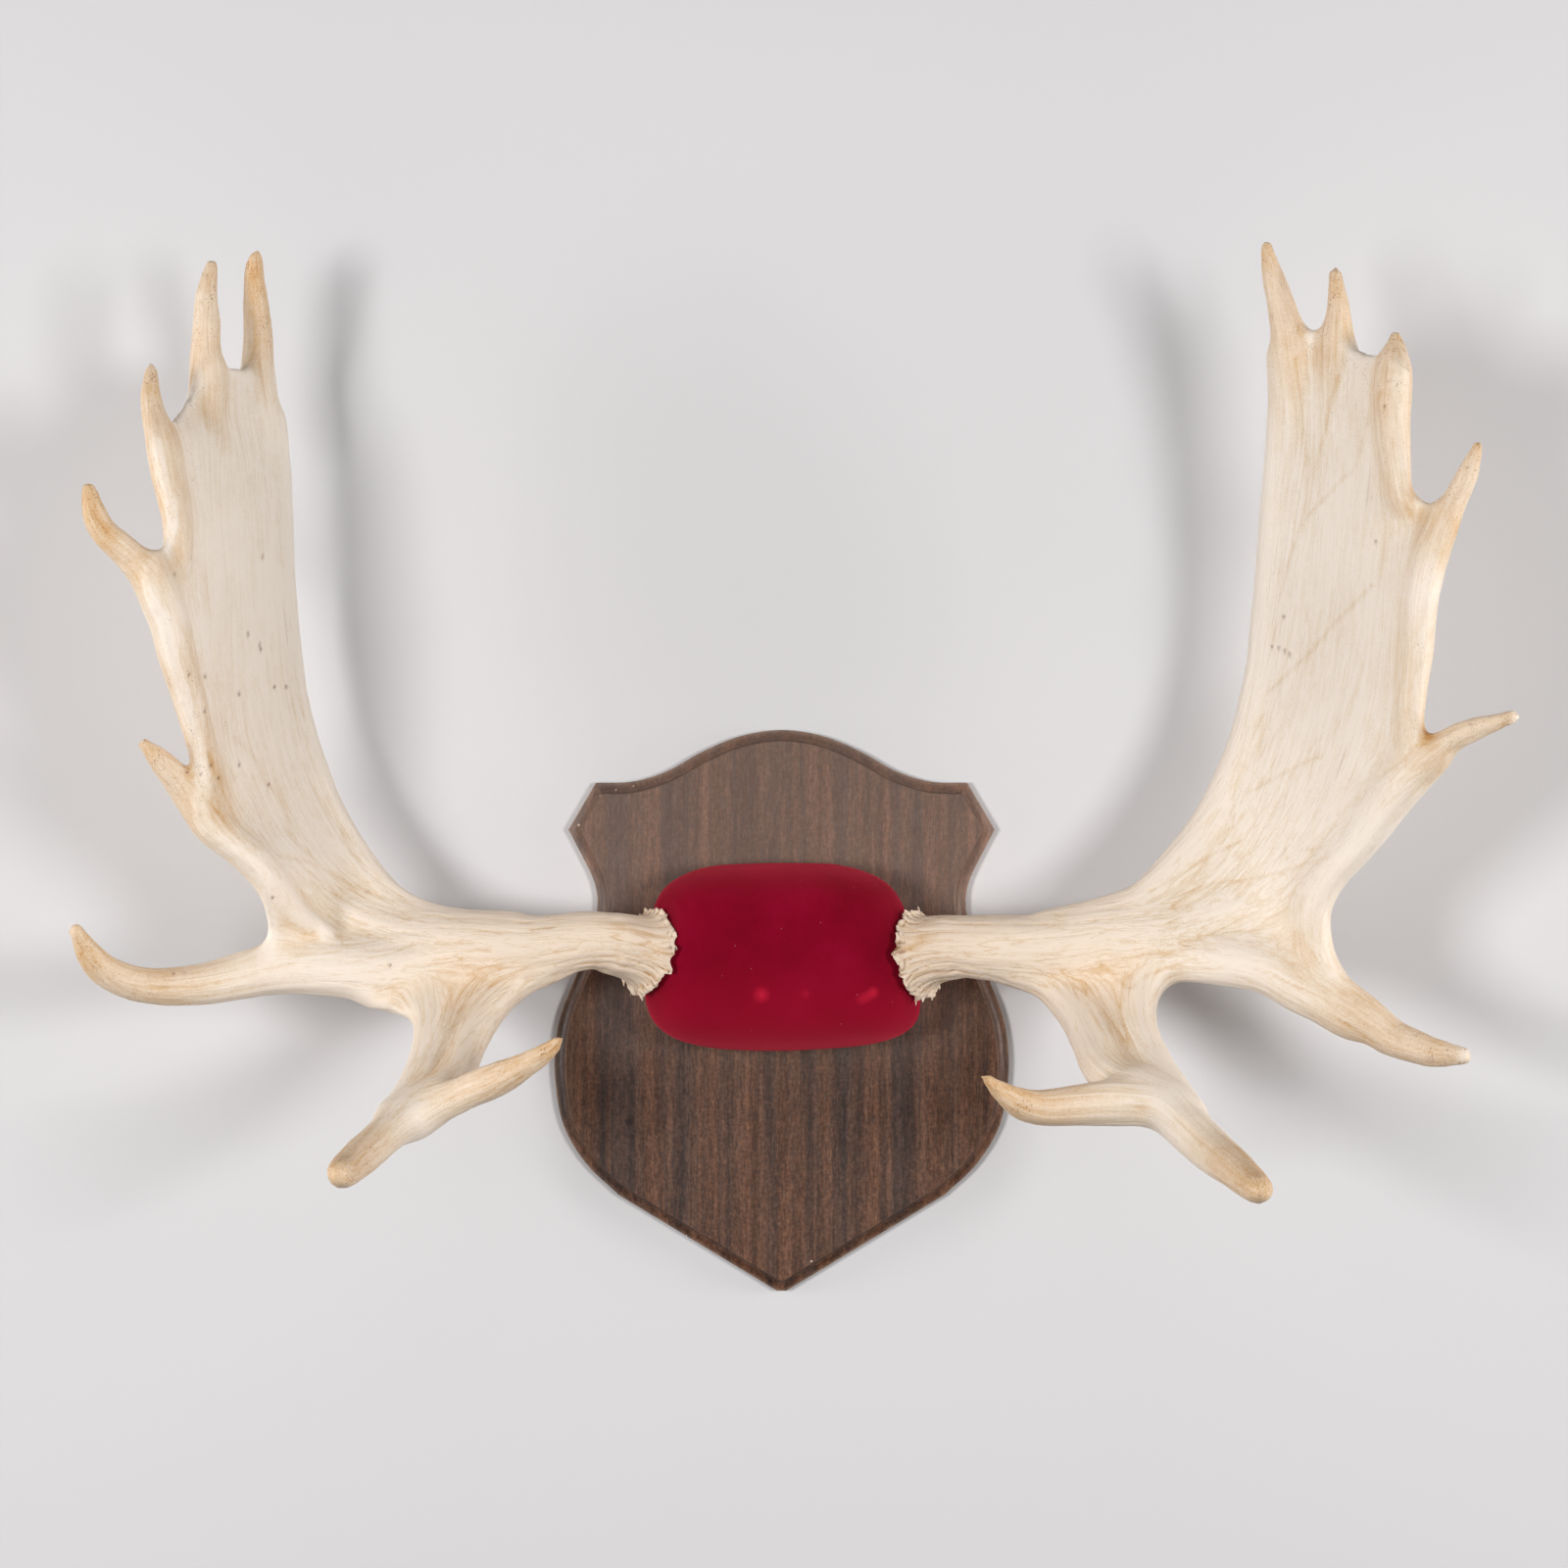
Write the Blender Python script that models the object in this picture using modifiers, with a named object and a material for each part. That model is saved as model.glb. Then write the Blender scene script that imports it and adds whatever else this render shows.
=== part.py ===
"""Moose antlers on a shield plaque, with a velvet cover over the skull plate.

Metres, +Z up. The origin is the middle of the plaque's back, the wall is the plane y = 0,
and the trophy faces -Y. "Left" and "right" are the viewer's.

An antler grows as ribs with a thin sheet of bone between them. Each rib below is a spine:
its points are (x, off, z, r) in millimetres, with off the height off the wall and r the
rib's radius. The sheet's rim runs along the ribs, and its bowl follows their heights.
"""
import math

import bmesh
import bpy
import numpy as np
from mathutils import Matrix, Vector

MM = 0.001
GAP = 0.3 * MM                   # clearance kept between neighbouring pieces

# Plaque: half outline (x, z, corner?) in mm, mirrored to the other side
PLAQUE_THICK = 19 * MM
PLAQUE_HALF = [
    (0, 233, False), (34, 228, False), (66, 215, False), (95, 199, False),
    (124, 190, False), (155, 189, True), (178, 150, True), (166, 127, False),
    (156, 105, False), (154, 84, False), (161, 54, False), (173, 25, False),
    (184, -3, False), (189, -30, False), (189, -60, False), (182, -97, False),
    (163, -129, False), (136, -155, True), (4, -235, True),
]
EDGE_COVE_WIDTH = 9 * MM         # moulded edge, from the side to the field
EDGE_COVE_DEPTH = 10.6 * MM
EDGE_STEP = 1.6 * MM             # the little square step where the field begins
COVE_STEPS = 3

# Velvet cover: a stuffed pad, squarish from the front and domed
PAD_WIDTH = 236 * MM
PAD_HEIGHT = 151 * MM
PAD_TOP = 118 * MM               # its crown, off the wall
PAD_CENTRE_X = 2 * MM            # the skull plate sits a little right of the middle
PAD_CENTRE_Z = 46 * MM
PAD_SQUARENESS = 3.4             # superellipse exponent seen from the front
PAD_DOME = 3.4                   # and in its depth
PAD_TAPER = 0.07                 # share by which it is narrower at mid height than below
PAD_SEGMENTS = 8

# Antlers
SHEET_HALF = 6.5 * MM            # half the palm's thickness
BURR_REACH = 39 * MM             # radius over the pearls of the burr
BURR_PEARLS = 15
PEDICLE_CLEAR = 3 * MM           # room for the burr in the velvet's side
SHEET_VOXEL = 5 * MM
ANTLER_VOXEL = 3.4 * MM
FILLET_PASSES = 7
SMOOTHING_LOSS = 1.0 * MM        # what the fillet passes take off a rib
CUT_SIZE = 2.0                   # edge of the blocks that part an antler at its forks
ANTLER_TRIANGLES = 3700

LEFT = {
    "beam": [(-106, 84, 52, 33), (-119, 93, 56, 28), (-135, 105, 60, 24), (-161, 114, 61, 24),
             (-191, 119, 57, 26), (-225, 122, 57, 26), (-257, 124, 61, 23), (-289, 127, 64, 19),
             (-321, 131, 71, 13), (-354, 136, 85, 7)],
    "inner_margin": [(-219, 117, 69, 14), (-255, 117, 72, 13), (-289, 115, 82, 12),
                     (-315, 112, 98, 11), (-339, 107, 128, 9), (-362, 102, 167, 8),
                     (-380, 100, 211, 8), (-391, 97, 253, 7), (-398, 94, 298, 7),
                     (-402, 94, 345, 7), (-404, 97, 395, 7), (-406, 99, 440, 7),
                     (-410, 102, 481, 7)],
    "tine_6": [(-414, 104, 465, 7), (-420, 112, 511, 12), (-422, 118, 531, 13),
               (-421, 125, 551, 12), (-422, 139, 591, 9), (-420, 145, 605, 7)],
    "tine_5": [(-451, 176, 459, 7), (-454, 183, 508, 13), (-454, 186, 532, 12),
               (-453, 187, 554, 11), (-453, 186, 575, 9), (-450, 184, 594, 6)],
    "tine_4": [(-460, 268, 357, 6), (-465, 270, 391, 9), (-472, 268, 424, 11),
               (-477, 264, 451, 11), (-484, 259, 474, 9), (-486, 255, 490, 8), (-486, 251, 507, 5)],
    "tine_3": [(-436, 228, 165, 6), (-443, 250, 196, 7), (-456, 268, 252, 10),
               (-463, 278, 284, 13), (-468, 286, 311, 14), (-476, 292, 335, 15),
               (-485, 297, 350, 13), (-498, 303, 365, 12), (-512, 308, 378, 11),
               (-519, 311, 392, 10), (-522, 313, 407, 7)],
    "tine_2": [(-363, 172, 71, 6), (-382, 198, 88, 8), (-401, 222, 114, 11), (-422, 238, 137, 12),
               (-442, 249, 156, 13), (-454, 257, 174, 12), (-464, 264, 190, 11),
               (-474, 271, 204, 10), (-485, 277, 216, 6)],
    "tine_1": [(-296, 140, 43, 17), (-333, 158, 39, 21), (-370, 177, 41, 20), (-397, 192, 42, 20),
               (-420, 205, 39, 19), (-446, 218, 33, 17), (-479, 234, 31, 15), (-500, 245, 34, 14),
               (-519, 256, 43, 13), (-530, 266, 56, 11), (-538, 275, 73, 7)],
    "brow_outer": [(-300, 140, 31, 11), (-284, 158, 8, 10), (-279, 185, -13, 11),
                   (-281, 216, -34, 12), (-287, 250, -53, 13), (-297, 284, -67, 13)],
    "brow_inner": [(-188, 119, 42, 13), (-214, 130, 26, 12), (-233, 155, 4, 12),
                   (-244, 188, -16, 12), (-250, 222, -35, 13), (-259, 252, -51, 14)],
    "brow_tine_inner": [(-278, 278, -68, 14), (-260, 278, -56, 14), (-238, 283, -46, 14),
                        (-222, 289, -39, 14), (-205, 297, -31, 12), (-186, 306, -20, 9),
                        (-175, 312, -12, 7), (-167, 317, -5, 4)],
    "brow_tine_outer": [(-265, 262, -55, 14), (-283, 276, -65, 15), (-299, 308, -77, 15),
                        (-311, 346, -88, 15), (-320, 384, -96, 13), (-321, 410, -96, 11)],
}
# The sheet's rim: stretches of ribs as (rib, first point, last point), and crotch points
LEFT_RIM = [
    ("inner_margin", 0, 12), ("tine_6", 1, 1), ("crotch", (-436, 150, 520)), ("tine_5", 1, 1),
    ("crotch", (-472, 215, 475)), ("tine_4", 3, 1), ("tine_3", 5, 1), ("tine_2", 4, 2),
    ("crotch", (-400, 210, 80)), ("tine_1", 3, 1), ("crotch", (-331, 165, 16)),
    ("crotch", (-305, 152, 6)), ("brow_outer", 1, 5), ("brow_tine_outer", 0, 0),
    ("brow_inner", 5, 0),
]
# Points of the bowl's floor, as (x, off, z)
LEFT_BOWL = [
    (-386, 184, 110), (-404, 187, 149), (-422, 192, 188), (-426, 184, 228), (-428, 173, 267),
    (-432, 171, 306), (-436, 174, 345), (-438, 180, 384), (-439, 174, 422), (-438, 158, 455),
    (-437, 146, 485), (-351, 136, 86), (-264, 153, 8), (-266, 199, -27),
]

RIGHT = {
    "beam": [(109, 84, 51, 33), (123, 93, 55, 29), (141, 106, 57, 25), (166, 119, 56, 27),
             (196, 129, 56, 28), (227, 136, 59, 26), (258, 141, 65, 23), (291, 146, 67, 20),
             (323, 151, 75, 13), (353, 156, 88, 7)],
    "inner_margin": [(218, 131, 72, 14), (253, 137, 83, 13), (285, 139, 96, 12),
                     (310, 136, 121, 10), (334, 130, 152, 9), (354, 123, 188, 8),
                     (370, 117, 229, 7), (381, 114, 274, 7), (386, 115, 314, 7),
                     (389, 122, 362, 6), (391, 135, 408, 6), (394, 150, 453, 7),
                     (395, 165, 492, 8), (394, 176, 525, 8)],
    "tine_6": [(415, 160, 461, 7), (407, 172, 499, 11), (401, 182, 527, 14), (397, 189, 549, 13),
               (391, 196, 570, 11), (385, 202, 588, 9), (380, 206, 606, 6)],
    "tine_5": [(442, 198, 464, 7), (438, 206, 506, 11), (436, 212, 531, 12), (435, 215, 548, 11),
               (434, 217, 564, 9), (432, 218, 583, 6)],
    "tine_4": [(474, 282, 408, 6), (471, 281, 434, 9), (469, 279, 462, 11), (469, 277, 488, 13),
               (470, 276, 508, 11), (470, 275, 527, 6)],
    "tine_3": [(483, 272, 218, 6), (483, 280, 251, 8), (486, 288, 289, 10), (488, 294, 326, 11),
               (494, 298, 359, 12), (502, 302, 383, 11), (510, 307, 403, 10), (518, 313, 422, 9),
               (524, 319, 440, 5)],
    "tine_2": [(458, 236, 165, 6), (477, 258, 188, 14), (495, 276, 205, 14), (508, 290, 220, 11),
               (522, 302, 228, 10), (535, 313, 233, 8), (548, 323, 238, 6)],
    "outer_margin": [(483, 264, 188, 9), (466, 246, 161, 11), (450, 228, 139, 11),
                     (432, 210, 117, 11), (420, 196, 92, 12), (421, 190, 64, 12),
                     (427, 190, 41, 13)],
    "tine_1": [(311, 152, 48, 17), (345, 162, 46, 18), (382, 173, 41, 19), (408, 182, 29, 21),
               (429, 190, 20, 22), (448, 198, 8, 21), (463, 206, 0, 17), (477, 214, -10, 15),
               (490, 223, -15, 14), (505, 232, -20, 12), (524, 241, -22, 8)],
    "brow_outer": [(303, 150, 40, 11), (288, 166, 17, 10), (285, 192, -7, 11),
                   (292, 226, -29, 12), (301, 262, -47, 13), (309, 294, -61, 13)],
    "brow_inner": [(189, 127, 41, 14), (215, 138, 25, 13), (232, 164, 4, 13), (241, 198, -17, 13),
                   (248, 234, -35, 14), (265, 262, -47, 14)],
    "brow_tine_inner": [(293, 288, -56, 14), (271, 282, -56, 17), (248, 286, -55, 18),
                        (225, 293, -56, 16), (196, 305, -57, 14), (179, 314, -52, 12),
                        (165, 322, -43, 8), (153, 331, -32, 4)],
    "brow_tine_outer": [(276, 268, -46, 14), (293, 286, -60, 16), (307, 310, -72, 18),
                        (322, 346, -86, 17), (333, 386, -95, 15), (341, 420, -102, 13),
                        (344, 440, -104, 11)],
}
RIGHT_RIM = [
    ("inner_margin", 0, 13), ("tine_6", 2, 2), ("crotch", (414, 197, 541)), ("tine_5", 2, 2),
    ("tine_4", 4, 0), ("crotch", (487, 288, 402)), ("tine_3", 5, 0), ("tine_2", 2, 2),
    ("outer_margin", 0, 6), ("tine_1", 4, 0), ("brow_outer", 1, 5), ("brow_tine_outer", 0, 0),
    ("brow_inner", 5, 0),
]
RIGHT_BOWL = [
    (391, 167, 110), (407, 174, 149), (423, 184, 188), (432, 189, 227), (440, 197, 265),
    (442, 199, 304), (444, 204, 343), (443, 209, 382), (442, 218, 420), (441, 221, 450),
    (440, 221, 478), (354, 155, 86), (267, 163, 8), (270, 214, -26),
]

# Main forks: the brow palm leaves below this height, the beam ends at this distance out
BROW_FORK_Z = 2 * MM
BEAM_FORK_X = 243 * MM
BROW_REACH_X = 389 * MM          # the brow palm lies inside this distance
LATERAL_FORK = {                 # the lowest palm tine leaves at x, and stays below z
    "left": (408 * MM, 98 * MM), "right": (439 * MM, 80 * MM),
}

COLOURS = {                      # linear base colour, roughness
    "antler": ((0.72, 0.60, 0.42), 0.55),
    "velvet": ((0.25, 0.006, 0.018), 0.95),
    "walnut": ((0.085, 0.045, 0.032), 0.42),
}


def clear_scene():
    for obj in list(bpy.data.objects):
        bpy.data.objects.remove(obj, do_unlink=True)


def new_collection(name):
    group = bpy.data.collections.new(name)
    bpy.context.scene.collection.children.link(group)
    return group


def make_material(name):
    colour, roughness = COLOURS[name]
    material = bpy.data.materials.new(name)
    material.use_nodes = True
    shader = material.node_tree.nodes["Principled BSDF"]
    shader.inputs["Base Color"].default_value = (*colour, 1.0)
    shader.inputs["Roughness"].default_value = roughness
    shader.inputs["Metallic"].default_value = 0.0
    return material


def add_object(name, mesh, group):
    obj = bpy.data.objects.new(name, mesh)
    group.objects.link(obj)
    return obj


def curve_to_mesh(obj, group):
    """A mesh object in place of a curve object, with its caps welded on."""
    bpy.context.view_layer.update()
    evaluated = obj.evaluated_get(bpy.context.evaluated_depsgraph_get())
    mesh = bpy.data.meshes.new_from_object(evaluated)
    bm = bmesh.new()
    bm.from_mesh(mesh)
    bmesh.ops.remove_doubles(bm, verts=bm.verts, dist=1e-6)
    bmesh.ops.recalc_face_normals(bm, faces=bm.faces)
    bm.to_mesh(mesh)
    bm.free()
    result = add_object(obj.name + "_mesh", mesh, group)
    result.matrix_world = obj.matrix_world
    bpy.data.objects.remove(obj, do_unlink=True)
    return result


def apply_modifiers(obj):
    """Replace the object's mesh by the one its modifiers give."""
    bpy.context.view_layer.update()
    evaluated = obj.evaluated_get(bpy.context.evaluated_depsgraph_get())
    obj.data = bpy.data.meshes.new_from_object(evaluated)
    obj.modifiers.clear()


def remesh(obj, voxel):
    modifier = obj.modifiers.new("remesh", "REMESH")
    modifier.mode = "VOXEL"
    modifier.voxel_size = voxel
    apply_modifiers(obj)


def boolean(obj, cutter, operation):
    modifier = obj.modifiers.new(operation.lower(), "BOOLEAN")
    modifier.operation = operation
    modifier.solver = "EXACT"
    modifier.object = cutter
    apply_modifiers(obj)


def join(name, objects, group):
    """One object with the meshes of all, in world space."""
    bm = bmesh.new()
    for obj in objects:
        mesh = obj.data.copy()
        mesh.transform(obj.matrix_world)
        bm.from_mesh(mesh)
        bpy.data.meshes.remove(mesh)
        bpy.data.objects.remove(obj, do_unlink=True)
    mesh = bpy.data.meshes.new(name)
    bm.to_mesh(mesh)
    bm.free()
    return add_object(name, mesh, group)


def cutter_block(name, low, high, group):
    """A box between two corners, as a cutter."""
    bm = bmesh.new()
    low, high = Vector(low), Vector(high)
    size = high - low
    placed = Matrix.Translation((low + high) / 2) @ Matrix.Diagonal((*size, 1.0))
    bmesh.ops.create_cube(bm, size=1.0, matrix=placed)
    mesh = bpy.data.meshes.new(name)
    bm.to_mesh(mesh)
    bm.free()
    block = add_object(name, mesh, group)
    block.hide_render = True
    block.display_type = "WIRE"
    return block


def point_of(spine_point):
    """World position of a spine point, whose height off the wall runs to -Y."""
    x, off, z = spine_point[:3]
    return Vector((x, -off, z)) * MM


# --- plaque ------------------------------------------------------------------------------

def plaque_outline():
    """The whole shield outline, with the half mirrored across x = 0."""
    mirrored = [(-x, z, corner) for x, z, corner in reversed(PLAQUE_HALF) if x > 0]
    return PLAQUE_HALF + mirrored


def make_plaque(group):
    """Shield board: a filled outline, its front stepped in to a coved edge."""
    points = plaque_outline()
    curve = bpy.data.curves.new("plaque_outline", "CURVE")
    curve.dimensions = "2D"
    curve.fill_mode = "NONE"
    curve.resolution_u = 3
    spline = curve.splines.new("BEZIER")
    spline.bezier_points.add(len(points) - 1)
    for knot, (x, z, corner) in zip(spline.bezier_points, points):
        knot.co = (x * MM, z * MM, 0)
        knot.handle_left_type = knot.handle_right_type = "VECTOR" if corner else "AUTO"
    spline.use_cyclic_u = True
    outline = add_object("plaque_outline", curve, group)
    outline.rotation_euler = (math.radians(90), 0, 0)
    loop = curve_to_mesh(outline, group)

    bm = bmesh.new()
    bm.from_mesh(loop.data)
    bmesh.ops.contextual_create(bm, geom=bm.edges)
    back = bm.faces[:]
    grown = bmesh.ops.extrude_face_region(bm, geom=back)
    front = [item for item in grown["geom"] if isinstance(item, bmesh.types.BMFace)]
    raised = [item for item in grown["geom"] if isinstance(item, bmesh.types.BMVert)]
    side = PLAQUE_THICK - EDGE_COVE_DEPTH
    bmesh.ops.translate(bm, verts=raised, vec=(0, 0, side))
    bmesh.ops.recalc_face_normals(bm, faces=bm.faces)
    # The cove is a quarter round, hollow towards the viewer, in short insets
    rise_to_step = EDGE_COVE_DEPTH - EDGE_STEP
    width, height = 0.0, 0.0
    for step in range(1, COVE_STEPS + 1):
        turn = math.radians(90) * step / COVE_STEPS
        wide = EDGE_COVE_WIDTH * math.sin(turn)
        high = rise_to_step * (1 - math.cos(turn))
        bmesh.ops.inset_region(bm, faces=front, thickness=wide - width, depth=high - height,
                               use_even_offset=True)
        width, height = wide, high
    bmesh.ops.inset_region(bm, faces=front, thickness=0.4 * MM, depth=EDGE_STEP,
                           use_even_offset=True)
    bmesh.ops.triangulate(bm, faces=[face for face in bm.faces if len(face.verts) > 4])
    mesh = bpy.data.meshes.new("plaque")
    bm.to_mesh(mesh)
    bm.free()
    plaque = add_object("plaque", mesh, group)
    plaque.matrix_world = loop.matrix_world
    bpy.data.objects.remove(loop, do_unlink=True)
    return plaque


# --- velvet cover ------------------------------------------------------------------------

def make_velvet(group, cutters):
    """Stuffed pad: a subdivided cube drawn out to a superellipsoid, flat on the plaque."""
    bm = bmesh.new()
    bmesh.ops.create_cube(bm, size=2.0)
    bmesh.ops.subdivide_edges(bm, edges=bm.edges, cuts=PAD_SEGMENTS - 1, use_grid_fill=True)
    depth = PAD_TOP - PLAQUE_THICK
    for vert in bm.verts:
        x, y, z = vert.co
        plan = (abs(x) ** PAD_SQUARENESS + abs(z) ** PAD_SQUARENESS) ** (1 / PAD_SQUARENESS)
        reach = (plan ** PAD_DOME + abs(y) ** PAD_DOME) ** (1 / PAD_DOME)
        narrower = 1 - PAD_TAPER * (1 + z / reach)
        vert.co = (x / reach * narrower * PAD_WIDTH / 2, y / reach * depth,
                   z / reach * PAD_HEIGHT / 2)
    mesh = bpy.data.meshes.new("velvet_cover")
    bm.to_mesh(mesh)
    bm.free()
    pad = add_object("velvet_cover", mesh, group)
    pad.location = (PAD_CENTRE_X, -PLAQUE_THICK - GAP, PAD_CENTRE_Z)
    base = cutter_block("pad_base_cut", (-1, -PLAQUE_THICK - GAP, -1), (1, 1, 1), cutters)
    boolean(pad, base, "DIFFERENCE")
    for side, ribs in (("left", LEFT), ("right", RIGHT)):
        boolean(pad, pedicle_cutter(side, ribs["beam"], cutters), "DIFFERENCE")
    return pad


def beam_axis(beam):
    """Where the beam starts and the unit direction it leaves in."""
    start = point_of(beam[0])
    return start, (point_of(beam[2]) - start).normalized()


def pedicle_cutter(side, beam, group):
    """A round block that clears the burr out of the velvet's side."""
    start, axis = beam_axis(beam)
    length = 0.2
    bm = bmesh.new()
    radius = BURR_REACH + PEDICLE_CLEAR
    bmesh.ops.create_cone(bm, cap_ends=True, segments=32, radius1=radius, radius2=radius,
                          depth=length)
    mesh = bpy.data.meshes.new(side + "_burr_cut")
    bm.to_mesh(mesh)
    bm.free()
    block = add_object(side + "_burr_cut", mesh, group)
    block.rotation_mode = "QUATERNION"
    block.rotation_quaternion = axis.to_track_quat("Z", "Y")
    block.location = start + axis * (length / 2 - GAP)
    block.hide_render = True
    block.display_type = "WIRE"
    return block


# --- antlers -----------------------------------------------------------------------------

def make_rib(name, spine, group, grows_free):
    """A tapering round rib along its spine, with a rounded tip where it grows free."""
    knots = [(point_of(knot), knot[3] * MM + SMOOTHING_LOSS) for knot in spine]
    if grows_free:
        tip, radius = knots[-1]
        onward = (tip - knots[-2][0]).normalized()
        knots.append((tip + onward * radius * 0.6, radius * 0.8))
        knots.append((tip + onward * radius * 0.95, radius * 0.35))
    curve = bpy.data.curves.new(name, "CURVE")
    curve.dimensions = "3D"
    curve.resolution_u = 5
    curve.bevel_depth = 1.0
    curve.bevel_resolution = 4
    curve.use_fill_caps = True
    spline = curve.splines.new("BEZIER")
    spline.bezier_points.add(len(knots) - 1)
    for knot, (place, radius) in zip(spline.bezier_points, knots):
        knot.co = place
        knot.radius = radius
        knot.handle_left_type = knot.handle_right_type = "AUTO"
    return curve_to_mesh(add_object(name, curve, group), group)


def height_field(points):
    """Thin-plate spline off(x, z) through the points (x, off, z), in metres.

    f(p) = sum w_i phi(|p - p_i|) + a + b x + c z, with phi(s) = s^2 log s.
    """
    data = np.array(points, float) * MM
    at, off = data[:, [0, 2]], data[:, 1]
    count = len(at)
    stiffness = 1e-5

    def kernel(one, other):
        square = ((one[:, None] - other[None]) ** 2).sum(2)
        return 0.5 * square * np.log(np.maximum(square, 1e-12))

    system = np.zeros((count + 3, count + 3))
    system[:count, :count] = kernel(at, at) + stiffness * np.eye(count)
    system[:count, count] = system[count, :count] = 1
    system[:count, count + 1:] = at
    system[count + 1:, :count] = at.T
    weights = np.linalg.solve(system, np.concatenate([off, np.zeros(3)]))

    def field(where):
        where = np.atleast_2d(where)
        return (kernel(where, at) @ weights[:count] + weights[count]
                + where @ weights[count + 1:])
    return field


def rim_points(ribs, rim):
    """The spine points that the sheet's rim runs through, in order."""
    points = []
    for name, *places in rim:
        if name == "crotch":
            points.append(places[0])
            continue
        first, last = places
        step = 1 if last >= first else -1
        points += [ribs[name][index][:3] for index in range(first, last + step, step)]
    return points


def make_sheet(side, ribs, rim, bowl, group):
    """The palm's sheet of bone: a filled rim, bent to the bowl."""
    points = rim_points(ribs, rim)
    curve = bpy.data.curves.new(side + "_sheet", "CURVE")
    curve.dimensions = "2D"
    curve.fill_mode = "BOTH"
    curve.extrude = SHEET_HALF
    spline = curve.splines.new("POLY")
    spline.points.add(len(points) - 1)
    for knot, (x, off, z) in zip(spline.points, points):
        knot.co = (x * MM, z * MM, 0, 1)
    spline.use_cyclic_u = True
    flat = add_object(side + "_sheet", curve, group)
    flat.rotation_euler = (math.radians(90), 0, 0)
    sheet = join(side + "_sheet", [curve_to_mesh(flat, group)], group)
    remesh(sheet, SHEET_VOXEL)

    along_beam = [knot[:3] for knot in ribs["beam"][4:]]
    field = height_field(points + along_beam + bowl)
    count = len(sheet.data.vertices)
    places = np.empty(count * 3, np.float32)
    sheet.data.vertices.foreach_get("co", places)
    places = places.reshape(-1, 3).astype(float)
    flat_at = places[:, [0, 2]]
    step = 1 * MM
    off = field(flat_at)
    slope_x = (field(flat_at + [step, 0]) - off) / step
    slope_z = (field(flat_at + [0, step]) - off) / step
    # A slanting sheet is measured along its normal, so its flat thickness grows with slope
    spread = np.sqrt(1 + slope_x ** 2 + slope_z ** 2)
    places[:, 1] = places[:, 1] * spread - off
    sheet.data.vertices.foreach_set("co", places.astype(np.float32).ravel())
    return sheet


def make_burr(side, beam, group):
    """The ring of bony pearls round the foot of the beam."""
    start, axis = beam_axis(beam)
    across = axis.cross(Vector((0, 0, 1))).normalized()
    upward = across.cross(axis)
    pearls = []
    for index in range(BURR_PEARLS):
        turn = 2 * math.pi * index / BURR_PEARLS
        size = (5.2 + 1.3 * math.sin(5 * turn + 1)) * MM
        outward = across * math.cos(turn) + upward * math.sin(turn)
        place = start + outward * (BURR_REACH - size) + axis * (4.5 * MM)
        bm = bmesh.new()
        bmesh.ops.create_uvsphere(bm, u_segments=12, v_segments=8, radius=size)
        bmesh.ops.scale(bm, vec=(1.0, 1.0, 1.5), verts=bm.verts)
        turned = axis.to_track_quat("Z", "Y").to_matrix().to_4x4()
        bmesh.ops.transform(bm, matrix=Matrix.Translation(place) @ turned, verts=bm.verts)
        mesh = bpy.data.meshes.new(f"{side}_pearl_{index}")
        bm.to_mesh(mesh)
        bm.free()
        pearls.append(add_object(mesh.name, mesh, group))
    return pearls


def trim_to(obj, triangles):
    """Fewer triangles with the same form."""
    count = sum(len(face.vertices) - 2 for face in obj.data.polygons)
    modifier = obj.modifiers.new("decimate", "DECIMATE")
    modifier.decimate_type = "COLLAPSE"
    modifier.ratio = triangles / count
    modifier.use_collapse_triangulate = True
    apply_modifiers(obj)


def copy_of(obj, name, group):
    return add_object(name, obj.data.copy(), group)


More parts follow.
